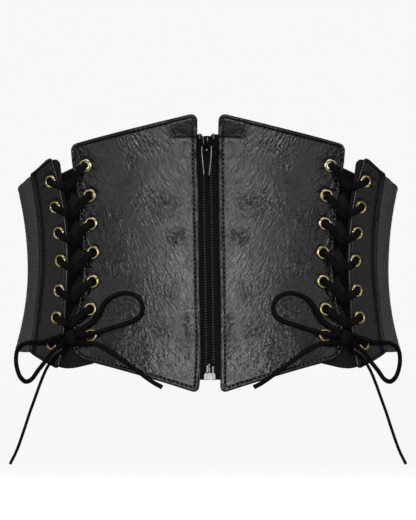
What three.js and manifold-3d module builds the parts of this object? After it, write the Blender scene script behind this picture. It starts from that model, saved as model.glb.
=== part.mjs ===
// A corset belt: two stiff leather front panels joined by a zip, narrow side panels laced to them
// through brass eyelets, and one elastic band round the back. Millimetres, +Z up, the front faces -Y,
// and the origin is the middle of the waist. "Along" is measured round the belt from the middle of
// the front, "height" is Z, and "lift" is measured outwards from the lining face of the belt.
import * as THREE from "three";
import { mergeVertices } from "three/addons/utils/BufferGeometryUtils.js";
import Module from "manifold-3d";

const wasm = await Module();
wasm.setup();

// The worn shape, widest at the hip and the ribs
const WAIST_HALF_WIDTH = 142.6;
const WAIST_HALF_DEPTH = 94;
const WAIST_HEIGHT = -7;
const FLARE_REACH = 70;
const SIDE_FLARE_UP = 8.8;
const SIDE_FLARE_DOWN = 12.1;
const FRONT_FLARE_UP = 2.5;
const FRONT_FLARE_DOWN = 3.9;
const STRAIGHT_ABOVE = 113;
const STRAIGHT_BELOW = -101;
const SLOPE_STEP = 1.5;
const FRONT_SQUARENESS = 2.6;
const BACK_SQUARENESS = 2.3;

// Walls and the gap between layers
const ELASTIC_THICKNESS = 1.5;
const MODESTY_THICKNESS = 1.2;
const TAPE_THICKNESS = 1;
const LEATHER_THICKNESS = 2;
const LAYER_GAP = 0.5;
const CLEARANCE = 0.3;
const LEATHER_INSIDE = ELASTIC_THICKNESS + LAYER_GAP;
const LEATHER_OUTSIDE = LEATHER_INSIDE + LEATHER_THICKNESS;

// Front panels
const ZIP_WINDOW = 15.6;
const FRONT_PANEL_REACH = 94.7;
const FRONT_TOP_INNER = 112;
const FRONT_TOP_OUTER = 88.7;
const FRONT_BOTTOM_INNER = -98.8;
const FRONT_BOTTOM_OUTER = -73;
const FRONT_BOTTOM_SWEEP = 1.2;
const FRONT_CORNERS = { topNear: 6.5, topFar: 4.5, bottomNear: 5.5, bottomFar: 12 };

// Share of the height up (+) or down (-), and the outer edge's share of FRONT_PANEL_REACH there
const FRONT_EDGE = [
  [-1, 1.09], [-0.85, 1.09], [-0.63, 1.082], [-0.47, 1.048], [-0.2, 1.006], [0, 1],
  [0.17, 1.014], [0.42, 1.04], [0.68, 1.058], [0.81, 1.085], [1, 1.1],
];

// Side panels
const LACING_GAP = 12.7;
const SIDE_PANEL_WIDTH = 31;
const SIDE_TOP_NEAR = 80.5;
const SIDE_TOP_FAR = 68.5;
const SIDE_BOTTOM_NEAR = -82.5;
const SIDE_BOTTOM_FAR = -70;
const SIDE_CORNERS = { topNear: 7, topFar: 1.5, bottomNear: 4.5, bottomFar: 1.5 };

// Share of the height up or down, and the front edge's share of its reach at the waist
const SIDE_EDGE = [
  [-1, 1.06], [-0.76, 1.032], [-0.35, 1.015], [0, 1], [0.45, 1.013], [0.84, 1.05], [1, 1.062],
];

// Share of the height up or down, and the panel's share of its width there
const SIDE_WIDTHS = [[-1, 1.08], [-0.35, 1.02], [0, 0.98], [1, 0.97]];

// Elastic back: share of the way from its front end to the middle of the back, and of its height
const ELASTIC_TUCK = 8.5;
const ELASTIC_TOP = 67.5;
const ELASTIC_BOTTOM = -70.5;
const ELASTIC_TOP_LINE = [[0, 1], [0.05, 0.98], [0.1, 0.92], [0.25, 0.85], [0.6, 0.79], [1, 0.77]];
const ELASTIC_BOTTOM_LINE = [[0, 0.985], [0.12, 1], [0.5, 0.95], [1, 0.91]];

// Modesty panels, sunk behind the lacing and fastened under the side panels
const MODESTY_LAP = 10.2;
const MODESTY_TUCK = 21;
const MODESTY_SEAM = 4;
const MODESTY_RAMP = 2.5;
const MODESTY_TOP_NEAR = 70.5;
const MODESTY_TOP_FAR = 65;
const MODESTY_BOTTOM = -80.3;

// Share of the way back across the modesty panel, and of MODESTY_BOTTOM there
const MODESTY_BOTTOM_LINE = [[0, 0.952], [0.5, 1], [1, 0.93]];

// Eyelets
const EYELET_BORE = 6;
const EYELET_FLANGE = 10.5;
const EYELET_WALL = 0.5;
const EYELET_RISE = 0.9;
const EYELET_SIDES = 8;
const PUNCH_DEPTH = 3 * LEATHER_THICKNESS;
const FRONT_EYELET_TOP = 72.8;
const FRONT_EYELET_RUN = 128.5;
const FRONT_EYELET_INSET = 8.6;
const SIDE_EYELET_TOP = 61.6;
const SIDE_EYELET_RUN = 124.5;
const SIDE_EYELET_INSET = 6.7;

// One row for each pair of eyelets: share down the front run, share of the front inset, share down
// the side run, share of the side inset
const EYELET_ROWS = [
  [0, 1.28, 0, 1.45],
  [0.176, 1.23, 0.158, 1.33],
  [0.341, 1.14, 0.317, 1.13],
  [0.512, 1.02, 0.488, 1],
  [0.683, 1, 0.673, 1],
  [0.847, 1.3, 0.84, 1.13],
  [1, 1.75, 1, 1.48],
];

// Lacing and bows
const LACE_DIAMETER = 3.5;
const LACE_SIDES = 6;
const OUTER_TAIL_DIAMETER = 2.4;
const CORD_SIDES = 8;
const CORD_STEP = 3;
const CROSSING_CLEARANCE = 1.7;
const TURN_PINCH = 1;
const PAST_EDGE = 1;
const BAR_SHARES = [0.3, 0.5, 0.7];
const KNOT_ALONG = 100.5;
const KNOT_HEIGHT = -58.5;
const KNOT_LENGTH = 15;
const KNOT_WIDTH = 11;
const KNOT_DEPTH = 8.4;
const KNOT_SIDES = 8;
const KNOT_RINGS = 5;
const WRAP_LENGTH = 6;
const WRAP_OVERSIZE = 1.18;
const WRAP_SIDES = 6;

// Zip
const TAPE_UNDER_PANEL = 10;
const TAPE_TOP = 95.5;
const TAPE_BOTTOM = -88.2;
const ZIP_SHIFT_TOP = -1.1;
const ZIP_SHIFT_BOTTOM = 1.2;
const TAPE_SPLIT = 0.5;
const TAPE_SPREAD = 3.3;
const SPREAD_FROM = 87;
const ZIP_ROWS = 7;
const COIL_WIDTH = 2.6;
const COIL_DEPTH = 1.3;
const SLIDER_HEIGHT = 89.4;
const SLIDER_LENGTH = 10;
const SLIDER_WIDTH = 9.2;
const SLIDER_PLATE = 1;
const SLIDER_SHOULDER = 1;
const SLIDER_SHOULDER_CUT = 2;
const SLIDER_HIP = -1.5;
const SLIDER_HIP_CUT = 0.8;
const SLIDER_WALL_FOOT = -4.5;
const WEDGE_WIDTH = 1.8;
const WEDGE_FROM = 2.25;
const WEDGE_TO = 4.5;
const CROWN_LENGTH = 8;
const CROWN_WIDTH = 2.2;
const CROWN_RISE = 3;
const CROWN_BAR = 1;
const CROWN_BEVEL = 0.6;
const JOIN_DEPTH = 0.5;
const PULL_LENGTH = 23.3;
const PULL_WIDTH = 7.8;
const PULL_TIP_WIDTH = 4.4;
const PULL_THICKNESS = 1.2;
const PULL_EYE_LENGTH = 7.2;
const PULL_BEVEL = 0.8;
const PULL_TIP_BEVEL = 1.1;
const STOP_OFFSET = 5.1;
const STOP_WIDTH = 1.8;
const STOP_LENGTH = 4;
const STOP_DEPTH = 1.8;
const STOP_TOP = 96;
const BOX_WIDTH = 8.2;
const BOX_LENGTH = 5;
const BOX_DEPTH = 2.2;
const PIN_WIDTH = 2.9;
const PIN_LENGTH = 5.4;
const PIN_RIGHT = 0.1;
const RETAINER_INSET = 0.8;
const RETAINER_WIDTH = 1.5;
const RETAINER_LENGTH = 4.6;

const materials = {
  leather: new THREE.MeshStandardMaterial({ color: 0x2b2a2b, roughness: 0.48, metalness: 0 }),
  elastic: new THREE.MeshStandardMaterial({ color: 0x1d1d1d, roughness: 0.9, metalness: 0 }),
  tape: new THREE.MeshStandardMaterial({ color: 0x121212, roughness: 0.85, metalness: 0 }),
  lace: new THREE.MeshStandardMaterial({ color: 0x0e0e0d, roughness: 0.7, metalness: 0 }),
  brass: new THREE.MeshStandardMaterial({ color: 0xb89a5c, roughness: 0.3, metalness: 1 }),
  blackMetal: new THREE.MeshStandardMaterial({ color: 0x1a1a1a, roughness: 0.35, metalness: 0.8 }),
  steel: new THREE.MeshStandardMaterial({ color: 0xb9b9ba, roughness: 0.3, metalness: 1 }),
};

// Value of a table of [place, value] rows, on a smooth curve through them
function follow(table, place) {
  const last = table.length - 1;
  const at = THREE.MathUtils.clamp(place, table[0][0], table[last][0]);
  let row = 0;
  while (row < last - 1 && at > table[row + 1][0]) row += 1;
  const slope = (index) => {
    const before = table[Math.max(index - 1, 0)];
    const after = table[Math.min(index + 1, last)];
    return (after[1] - before[1]) / (after[0] - before[0]);
  };
  const [from, low] = table[row];
  const [to, high] = table[row + 1];
  const span = to - from;
  const t = (at - from) / span;
  const ease = t * t * (3 - 2 * t);
  const lead = t * (1 - t) * (1 - t);
  const trail = t * t * (t - 1);
  return low + (high - low) * ease + span * (slope(row) * lead + slope(row + 1) * trail);
}

// Share of the way up or down at a height, between a top and a bottom
function heightShare(height, top, bottom) {
  return height > 0 ? height / top : -height / bottom;
}

// The horizontal section of the worn shape, as points from the front middle to the back middle
const SECTION_STEPS = 240;
const sections = new Map();
function sectionAt(height) {
  const level = THREE.MathUtils.clamp(height, STRAIGHT_BELOW, STRAIGHT_ABOVE);
  const key = level.toFixed(3);
  if (sections.has(key)) return sections.get(key);
  const rise = (level - WAIST_HEIGHT) / FLARE_REACH;
  const halfWidth = WAIST_HALF_WIDTH + (rise > 0 ? SIDE_FLARE_UP : SIDE_FLARE_DOWN) * rise * rise;
  const halfDepth = WAIST_HALF_DEPTH + (rise > 0 ? FRONT_FLARE_UP : FRONT_FLARE_DOWN) * rise * rise;
  const points = [];
  let length = 0;
  for (let step = 0; step <= SECTION_STEPS; step += 1) {
    const angle = (Math.PI * step) / SECTION_STEPS;
    const power = 2 / (angle <= Math.PI / 2 ? FRONT_SQUARENESS : BACK_SQUARENESS);
    const x = halfWidth * Math.abs(Math.sin(angle)) ** power;
    const y = -halfDepth * Math.sign(Math.cos(angle)) * Math.abs(Math.cos(angle)) ** power;
    const before = points[step - 1];
    if (before) length += Math.hypot(x - before.x, y - before.y);
    points.push({ x, y, length });
  }
  const section = { points, halfGirth: length };
  sections.set(key, section);
  return section;
}

function halfGirth(height) {
  return sectionAt(height).halfGirth;
}

// Point of the lining face; negative along is the left side, past the half girth it comes round
function liningPoint(along, height) {
  const { points, halfGirth: reach } = sectionAt(height);
  const wrapped = along > reach ? along - 2 * reach : along;
  const distance = Math.min(Math.abs(wrapped), reach);
  let step = 1;
  while (step < SECTION_STEPS && points[step].length < distance) step += 1;
  const { x: x0, y: y0, length: l0 } = points[step - 1];
  const { x: x1, y: y1, length: l1 } = points[step];
  const t = (distance - l0) / (l1 - l0);
  const x = x0 + (x1 - x0) * t;
  return new THREE.Vector3(wrapped < 0 ? -x : x, y0 + (y1 - y0) * t, height);
}

function outward(along, height) {
  const ahead = liningPoint(along + SLOPE_STEP, height);
  const acrossway = ahead.sub(liningPoint(along - SLOPE_STEP, height));
  const above = liningPoint(along, height + SLOPE_STEP);
  const upward = above.sub(liningPoint(along, height - SLOPE_STEP));
  return acrossway.cross(upward).normalize();
}

function beltPoint(along, height, lift) {
  return liningPoint(along, height).addScaledVector(outward(along, height), lift);
}

// Edges of the panels round the belt, at a height
function frontEdge(height) {
  return FRONT_PANEL_REACH * follow(FRONT_EDGE, heightShare(height, FRONT_TOP_OUTER, FRONT_BOTTOM_OUTER));
}

function sideEdge(height) {
  const share = heightShare(height, SIDE_TOP_NEAR, SIDE_BOTTOM_NEAR);
  return (FRONT_PANEL_REACH + LACING_GAP) * follow(SIDE_EDGE, share);
}

function sideRear(height) {
  const share = heightShare(height, SIDE_TOP_NEAR, SIDE_BOTTOM_NEAR);
  return sideEdge(height) + SIDE_PANEL_WIDTH * follow(SIDE_WIDTHS, share);
}

// Evenly spaced shares from 0 to 1
function evenShares(count) {
  return Array.from({ length: count + 1 }, (_, i) => i / count);
}

// How far a corner of the given radius takes the edge back, at a distance from the side edge
function cornerDrop(radius, distance) {
  if (!radius || distance >= radius) return 0;
  return radius - Math.sqrt(radius ** 2 - (radius - distance) ** 2);
}

// Distances from an edge that step evenly round a corner
function cornerSteps(radius, count) {
  return Array.from({ length: count + 1 }, (_, i) => radius * (1 - Math.cos((i * Math.PI) / 2 / count)));
}

// Columns of a wall from its near to its far edge, each the distance along the belt at a height
function wallColumns({ near, far, middle, nearSteps = [0], farSteps = [0] }) {
  const lastNear = nearSteps[nearSteps.length - 1];
  const lastFar = farSteps[farSteps.length - 1];
  const between = evenShares(middle).slice(1, -1).map((share) => (height) =>
    THREE.MathUtils.lerp(near(height) + lastNear, far(height) - lastFar, share));
  return [
    ...nearSteps.map((distance) => (height) => near(height) + distance),
    ...between,
    ...farSteps.toReversed().map((distance) => (height) => far(height) - distance),
  ];
}

// Triangles of a closed slab: an inner and an outer grid of points joined round their borders
function slabTriangles(across, rows) {
  const index = (face, column, row) => (face * (rows + 1) + row) * across + column;
  const triangles = [];
  const quad = (a, b, c, d) => triangles.push(a, b, c, a, c, d);
  const end = across - 1;
  for (let row = 0; row < rows; row += 1) {
    for (let column = 0; column < end; column += 1) {
      const corners = [[column, row], [column + 1, row], [column + 1, row + 1], [column, row + 1]];
      quad(...corners.map(([c, r]) => index(1, c, r)));
      quad(...corners.toReversed().map(([c, r]) => index(0, c, r)));
    }
    quad(index(0, 0, row), index(1, 0, row), index(1, 0, row + 1), index(0, 0, row + 1));
    quad(index(1, end, row), index(0, end, row), index(0, end, row + 1), index(1, end, row + 1));
  }
  for (let column = 0; column < end; column += 1) {
    const next = column + 1;
    quad(index(0, column, 0), index(0, next, 0), index(1, next, 0), index(1, column, 0));
    quad(index(1, column, rows), index(1, next, rows), index(0, next, rows), index(0, column, rows));
  }
  return triangles;
}

// Closed wall between an inner and an outer face, on a grid of columns round the belt and rows up it
function wall(shape) {
  const { near, far, top, bottom, rows, inner, outer, corners = {} } = shape;
  const rowShares = Array.isArray(rows) ? rows : evenShares(rows);
  const columns = wallColumns(shape);
  const positions = [];
  const addPoint = (column, rowShare, face) => {
    const fromNear = column(0) - near(0);
    const fromFar = far(0) - column(0);
    const share = fromNear / (fromNear + fromFar);
    const topDrop = cornerDrop(corners.topNear, fromNear) + cornerDrop(corners.topFar, fromFar);
    const bottomDrop = cornerDrop(corners.bottomNear, fromNear) + cornerDrop(corners.bottomFar, fromFar);
    const height = THREE.MathUtils.lerp(bottom(share) + bottomDrop, top(share) - topDrop, rowShare);
    positions.push(...beltPoint(column(height), height, face(fromFar)).toArray());
  };
  for (const face of [inner, outer]) {
    for (const rowShare of rowShares) {
      for (const column of columns) addPoint(column, rowShare, face);
    }
  }
  const geometry = new THREE.BufferGeometry();
  geometry.setAttribute("position", new THREE.Float32BufferAttribute(positions, 3));
  geometry.setIndex(slabTriangles(columns.length, rowShares.length - 1));
  return geometry;
}

// Solids for cutting and joining
function solidFrom(geometry) {
  const bare = geometry.clone();
  bare.deleteAttribute("normal");
  bare.deleteAttribute("uv");
  const merged = mergeVertices(bare, 1e-4);
  const vertProperties = new Float32Array(merged.attributes.position.array);
  const triVerts = new Uint32Array(merged.index.array);
  return new wasm.Manifold(new wasm.Mesh({ numProp: 3, vertProperties, triVerts }));
}

function geometryFrom(solid) {
  const mesh = solid.getMesh();
  const geometry = new THREE.BufferGeometry();
  geometry.setAttribute("position", new THREE.BufferAttribute(mesh.vertProperties, 3));
  geometry.setIndex(new THREE.BufferAttribute(mesh.triVerts, 1));
  return geometry;
}

function joined(geometries) {
  const [first, ...rest] = geometries.map(solidFrom);
  return geometryFrom(rest.reduce((whole, piece) => whole.add(piece), first));
}

function mirrored(geometry) {
  const copy = geometry.clone().scale(-1, 1, 1);
  if (!copy.index) copy.setIndex([...Array(copy.attributes.position.count).keys()]);
  const order = copy.index.array;
  for (let i = 0; i < order.length; i += 3) [order[i], order[i + 1]] = [order[i + 1], order[i]];
  return copy;
}

// Radius of a regular outline whose flats lie at the given radius
function acrossFlats(radius, sides) {
  return radius / Math.cos(Math.PI / sides);
}

// Seats a geometry at a spot on the belt: its X runs round the belt, Y up it and Z out of it
function seated(geometry, { along, height }, lift) {
  const out = outward(along, height);
  const right = new THREE.Vector3(0, 0, 1).cross(out).normalize();
  const up = out.clone().cross(right);
  const turn = new THREE.Matrix4().makeBasis(right, up, out);
  return geometry.applyMatrix4(turn.setPosition(beltPoint(along, height, lift)));
}

function eyeletSpot(panel, row) {
  const [frontDown, frontInset, sideDown, sideInset] = EYELET_ROWS[row];
  if (panel === "front") {
    const height = FRONT_EYELET_TOP - frontDown * FRONT_EYELET_RUN;
    return { along: frontEdge(height) - frontInset * FRONT_EYELET_INSET, height };
  }
  const height = SIDE_EYELET_TOP - sideDown * SIDE_EYELET_RUN;
  return { along: sideEdge(height) + sideInset * SIDE_EYELET_INSET, height };
}

// A ring with a barrel through the leather and a domed flange outside
function eyeletGeometry(spot) {
  const bore = acrossFlats(EYELET_BORE / 2, EYELET_SIDES);
  const barrel = bore + EYELET_WALL;
  const flange = EYELET_FLANGE / 2;
  const foot = -LEATHER_THICKNESS - CLEARANCE;
  const profile = [
    [bore, foot],
    [barrel, foot],
    [barrel, CLEARANCE],
    [flange, CLEARANCE],
    [flange - EYELET_RISE, CLEARANCE + EYELET_RISE],
    [bore, CLEARANCE + EYELET_RISE / 2],
    [bore, foot],
  ].map(([radius, rise]) => new THREE.Vector2(radius, rise));
  const ring = new THREE.LatheGeometry(profile, EYELET_SIDES).rotateX(Math.PI / 2);
  return seated(ring, spot, LEATHER_OUTSIDE);
}

// Leather wall with a row of eyelet holes cut through it
function punched(geometry, panel) {
  const radius = acrossFlats(EYELET_BORE / 2, EYELET_SIDES) + EYELET_WALL + CLEARANCE;
  let solid = solidFrom(geometry);
  EYELET_ROWS.forEach((_, row) => {
    const punch = new THREE.CylinderGeometry(radius, radius, PUNCH_DEPTH, EYELET_SIDES);
    const middle = (LEATHER_INSIDE + LEATHER_OUTSIDE) / 2;
    const through = seated(punch.rotateX(Math.PI / 2), eyeletSpot(panel, row), middle);
    solid = solid.subtract(solidFrom(through));
  });
  return geometryFrom(solid);
}

function frontPanel() {
  const { topNear, bottomFar } = FRONT_CORNERS;
  const drop = FRONT_BOTTOM_OUTER - FRONT_BOTTOM_INNER;
  return punched(wall({
    near: () => ZIP_WINDOW / 2,
    far: frontEdge,
    top: (share) => THREE.MathUtils.lerp(FRONT_TOP_INNER, FRONT_TOP_OUTER, share),
    bottom: (share) => FRONT_BOTTOM_OUTER - drop * (1 - share) ** FRONT_BOTTOM_SWEEP,
    corners: FRONT_CORNERS,
    nearSteps: cornerSteps(topNear, 2),
    farSteps: cornerSteps(bottomFar, 3),
    middle: 3,
    rows: 9,
    inner: () => LEATHER_INSIDE,
    outer: () => LEATHER_OUTSIDE,
  }), "front");
}

function sidePanel() {
  return punched(wall({
    near: sideEdge,
    far: sideRear,
    top: (share) => THREE.MathUtils.lerp(SIDE_TOP_NEAR, SIDE_TOP_FAR, share),
    bottom: (share) => THREE.MathUtils.lerp(SIDE_BOTTOM_NEAR, SIDE_BOTTOM_FAR, share),
    corners: SIDE_CORNERS,
    nearSteps: cornerSteps(SIDE_CORNERS.topNear, 2),
    farSteps: cornerSteps(SIDE_CORNERS.topFar, 1),
    middle: 2,
    rows: 9,
    inner: () => LEATHER_INSIDE,
    outer: () => LEATHER_OUTSIDE,
  }), "side");
}

// The elastic runs under the rear edge of both side panels and right round the back
function backElastic() {
  const near = (height) => sideRear(height) - ELASTIC_TUCK;
  const fromEnd = (share) => 1 - Math.abs(2 * share - 1);
  return wall({
    near,
    far: (height) => 2 * halfGirth(height) - near(height),
    top: (share) => ELASTIC_TOP * follow(ELASTIC_TOP_LINE, fromEnd(share)),
    bottom: (share) => ELASTIC_BOTTOM * follow(ELASTIC_BOTTOM_LINE, fromEnd(share)),
    middle: 24,
    rows: 6,
    inner: () => 0,
    outer: () => ELASTIC_THICKNESS,
  });
}

// Lift of the lace's middle where it passes under the leather, over it and over an eyelet's flange
const LACE_RADIUS = LACE_DIAMETER / 2;
const LACE_UNDER = LEATHER_INSIDE - LACE_RADIUS - LAYER_GAP;
const LACE_OVER = LEATHER_OUTSIDE + LACE_RADIUS + LAYER_GAP;
const TURN_TOP = LEATHER_OUTSIDE + CLEARANCE + EYELET_RISE + LACE_RADIUS + CLEARANCE;
const TURN_BOTTOM = LEATHER_INSIDE - CLEARANCE - LACE_RADIUS - CLEARANCE;
const MODESTY_SUNK = TURN_BOTTOM - LACE_RADIUS - CLEARANCE;

function modestyPanel() {
  const seamLift = LEATHER_INSIDE - LAYER_GAP;
  const outer = (fromFar) => {
    const down = THREE.MathUtils.clamp((fromFar - MODESTY_SEAM) / MODESTY_RAMP, 0, 1);
    return THREE.MathUtils.lerp(seamLift, MODESTY_SUNK, down);
  };
  return wall({
    near: (height) => frontEdge(height) - MODESTY_LAP,
    far: (height) => sideEdge(height) + MODESTY_TUCK,
    top: (share) => THREE.MathUtils.lerp(MODESTY_TOP_NEAR, MODESTY_TOP_FAR, share),
    bottom: (share) => MODESTY_BOTTOM * follow(MODESTY_BOTTOM_LINE, share),
    farSteps: [0, MODESTY_SEAM, MODESTY_SEAM + MODESTY_RAMP],
    middle: 3,
    rows: 7,
    inner: (fromFar) => outer(fromFar) - MODESTY_THICKNESS,
    outer,
  });
}

// A route whose sections stand exactly at its own points
class Route extends THREE.CatmullRomCurve3 {
  constructor(points) {
    super(points, false, "centripetal");
  }

  getUtoTmapping(share) {
    return share;
  }
}

function tube(points, radius, sides) {
  const outline = new THREE.Shape();
  for (let side = 0; side < sides; side += 1) {
    const angle = (2 * Math.PI * side) / sides;
    const x = radius * Math.cos(angle);
    const y = radius * Math.sin(angle);
    if (side === 0) outline.moveTo(x, y);
    else outline.lineTo(x, y);
  }
  outline.closePath();
  return new THREE.ExtrudeGeometry(outline, {
    steps: points.length - 1,
    bevelEnabled: false,
    extrudePath: new Route(points),
  });
}

// Unit step on the belt from one spot towards another, as [along, height]
function heading(from, to) {
  const run = to.along - from.along;
  const rise = to.height - from.height;
  const length = Math.hypot(run, rise);
  return [run / length, rise / length];
}

// The turn up through an eyelet: in under the leather from one spot, out over it to the next
function turnThrough(spot, from, to) {
  const arrive = heading(spot, from);
  const leave = heading(spot, to);
  const radius = (TURN_TOP - TURN_BOTTOM) / 2;
  const middle = (TURN_TOP + TURN_BOTTOM) / 2;
  const reach = radius - TURN_PINCH;
  const side = Math.SQRT1_2 * radius;
  const step = ([run, rise], distance, lift) =>
    beltPoint(spot.along + run * distance, spot.height + rise * distance, lift);
  return [
    step(arrive, reach, TURN_BOTTOM),
    step(arrive, reach - side, middle - side),
    step(leave, reach - side, middle + side),
    step(leave, reach, TURN_TOP),
  ];
}

// Where the two laces between one row and the next cross, as a spot on the belt
function crossingSpot(row) {
  const a = eyeletSpot("front", row);
  const b = eyeletSpot("side", row + 1);
  const c = eyeletSpot("side", row);
  const d = eyeletSpot("front", row + 1);
  const slopeDown = (b.height - a.height) / (b.along - a.along);
  const slopeUp = (c.height - d.height) / (c.along - d.along);
  const along = (d.height - a.height + slopeDown * a.along - slopeUp * d.along) / (slopeDown - slopeUp);
  return { along, height: a.height + slopeDown * (along - a.along) };
}

// The stretch across the gap: over the panel it leaves, past the crossing, under the other panel
function acrossGap(row, from, to, startsAtFront) {
  const crossing = crossingSpot(row);
  const middle = (LACE_OVER + LACE_UNDER) / 2;
  const apart = LACE_RADIUS + CROSSING_CLEARANCE / 2;
  const atEdge = (edge, lift) => {
    const share = (edge - from.along) / (to.along - from.along);
    return beltPoint(edge, THREE.MathUtils.lerp(from.height, to.height, share), lift);
  };
  const pastFront = frontEdge(crossing.height) + PAST_EDGE;
  const pastSide = sideEdge(crossing.height) - PAST_EDGE;
  const [fromEdge, toEdge] = startsAtFront ? [pastFront, pastSide] : [pastSide, pastFront];
  return [
    atEdge(fromEdge, LACE_OVER),
    beltPoint(crossing.along, crossing.height, startsAtFront ? middle + apart : middle - apart),
    atEdge(toEdge, LACE_UNDER),
  ];
}

// One half of a lace, from under its first eyelet down to the side of the knot
function laceHalf(firstPanel) {
  const other = { front: "side", side: "front" };
  const last = EYELET_ROWS.length - 1;
  const knot = { along: KNOT_ALONG, height: KNOT_HEIGHT };
  const points = [];
  let panel = firstPanel;
  let before = eyeletSpot(other[firstPanel], 0);
  for (let row = 0; row <= last; row += 1) {
    const spot = eyeletSpot(panel, row);
    const next = row < last ? eyeletSpot(other[panel], row + 1) : knot;
    points.push(...turnThrough(spot, before, next));
    if (row < last) points.push(...acrossGap(row, spot, next, panel === "front"));
    before = spot;
    panel = other[panel];
  }
  const end = panel === "front" ? 1 : -1;
  const side = KNOT_ALONG + end * (KNOT_LENGTH / 2 + CLEARANCE);
  points.push(beltPoint(side, KNOT_HEIGHT, (TURN_TOP + knotLift()) / 2));
  return points;
}

// The whole lace: up one half, along the bar behind the first pair of eyelets, and down the other
function lace() {
  const [from, to] = [eyeletSpot("front", 0), eyeletSpot("side", 0)];
  const bar = BAR_SHARES.map((share) => beltPoint(
    THREE.MathUtils.lerp(from.along, to.along, share),
    THREE.MathUtils.lerp(from.height, to.height, share),
    TURN_BOTTOM,
  ));
  return tube([...laceHalf("front").toReversed(), ...bar, ...laceHalf("side")], LACE_RADIUS, LACE_SIDES);
}

function knotLift() {
  return LEATHER_OUTSIDE + LAYER_GAP + (KNOT_DEPTH * WRAP_OVERSIZE) / 2;
}

// The bow's knot: a rounded lump with a band wrapped round its middle
function bowKnot() {
  const lump = new THREE.SphereGeometry(0.5, KNOT_SIDES, KNOT_RINGS)
    .scale(KNOT_LENGTH, KNOT_WIDTH, KNOT_DEPTH);
  const wrap = new THREE.SphereGeometry(0.5, WRAP_SIDES, KNOT_RINGS)
    .scale(WRAP_LENGTH, KNOT_WIDTH * WRAP_OVERSIZE, KNOT_DEPTH * WRAP_OVERSIZE);
  return seated(joined([lump, wrap]), { along: KNOT_ALONG, height: KNOT_HEIGHT }, knotLift());
}

// The bow's loops and ends: diameter, and route chosen by hand as [along, height, lift]
const CORDS = {
  loop_in: { diameter: LACE_DIAMETER, route: [
    [96.2, -53.1, 10.6], [92.5, -50.6, 9.6], [88.4, -47.6, 8], [84.6, -43.9, 6.6], [79.8, -36, 6.2],
    [75.9, -29.8, 6.2], [69, -25.4, 6.2], [62.6, -23.7, 6.2], [55.5, -24.6, 6.2], [50.2, -28.8, 6.2],
    [48.2, -35, 6.2], [50.2, -41, 6.2], [56, -44.9, 6.2], [64.2, -47.7, 6.2], [75.6, -51.4, 6.4],
    [84, -54.2, 9.6], [88, -55.5, 11.1], [92.8, -57, 11.8],
  ] },
  tail_in: { diameter: LACE_DIAMETER, route: [
    [93, -62.4, 9.2], [88.5, -61.9, 8.4], [84, -62.3, 7.2], [79.5, -63.9, 6.2], [73.5, -67.2, 6.2],
    [68, -70.6, 6.2], [62, -74.8, 6.2], [56.5, -78.8, 6.2], [50.8, -83, 6.2], [45.2, -87.2, 6.2],
    [39.5, -91, 6.2], [33.9, -94, 6.2],
  ] },
  loop_out: { diameter: LACE_DIAMETER, route: [
    [108, -57.4, 12], [113, -59.2, 12], [119, -61.4, 11.4], [125, -62.4, 8.6], [131, -62.8, 6.8],
    [142.5, -63.4, 6.4], [150.5, -65.6, 6.6], [156.3, -70.2, 7], [156.3, -77.3, 7], [152.3, -84.8, 7],
    [146.2, -90.9, 7.4], [139.6, -93.4, 8], [134, -91.2, 8.6], [128, -84.6, 9.6], [122, -77.9, 10.2],
    [116.3, -70.4, 10.2], [110.4, -65.4, 10.2], [107.3, -63.2, 10],
  ] },
  tail_out: { diameter: OUTER_TAIL_DIAMETER, route: [
    [104.6, -66.6, 7.4], [108, -68.2, 6.4], [112.4, -70.6, 6.2], [117.8, -74.8, 6.2], [123.1, -82.6, 6.2],
    [127.4, -93.2, 6.6], [131.3, -103, 7], [135.9, -113.8, 7], [141.6, -127.9, 7], [148.9, -143.6, 7],
    [156.6, -154.8, 7],
  ] },
};

function cord({ diameter, route }) {
  const curve = new THREE.CatmullRomCurve3(route.map((point) => beltPoint(...point)));
  const steps = Math.ceil(curve.getLength() / (CORD_STEP * diameter));
  return tube(curve.getSpacedPoints(steps), diameter / 2, CORD_SIDES);
}

// Zip: how far its middle stands to the right of the belt's middle, and half the gap between tapes
function zipShift(height) {
  return THREE.MathUtils.mapLinear(height, TAPE_BOTTOM, TAPE_TOP, ZIP_SHIFT_BOTTOM, ZIP_SHIFT_TOP);
}

function zipSplit(height) {
  const share = THREE.MathUtils.clamp((height - SPREAD_FROM) / (TAPE_TOP - SPREAD_FROM), 0, 1);
  return TAPE_SPLIT / 2 + TAPE_SPREAD * share;
}

// Rows of a zip strip, with one where the tapes start to part
function zipRows(bottom, top) {
  const share = (SPREAD_FROM - bottom) / (top - bottom);
  const even = evenShares(ZIP_ROWS).map((value) => value * Math.min(share, 1));
  return share < 1 ? [...even, 1] : even;
}

const TAPE_OUTSIDE = ELASTIC_THICKNESS;
const COIL_INSIDE = TAPE_OUTSIDE + CLEARANCE;
const COIL_OUTSIDE = COIL_INSIDE + COIL_DEPTH;
const COIL_TOP = SPREAD_FROM - CLEARANCE;
const COIL_BOTTOM = TAPE_BOTTOM + BOX_LENGTH + PIN_LENGTH + 3 * CLEARANCE;

function zipTape(side) {
  return wall({
    near: (height) => side * zipShift(height) + zipSplit(height),
    far: () => ZIP_WINDOW / 2 + TAPE_UNDER_PANEL,
    top: () => TAPE_TOP,
    bottom: () => TAPE_BOTTOM,
    middle: 1,
    rows: zipRows(TAPE_BOTTOM, TAPE_TOP),
    inner: () => TAPE_OUTSIDE - TAPE_THICKNESS,
    outer: () => TAPE_OUTSIDE,
  });
}

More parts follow.
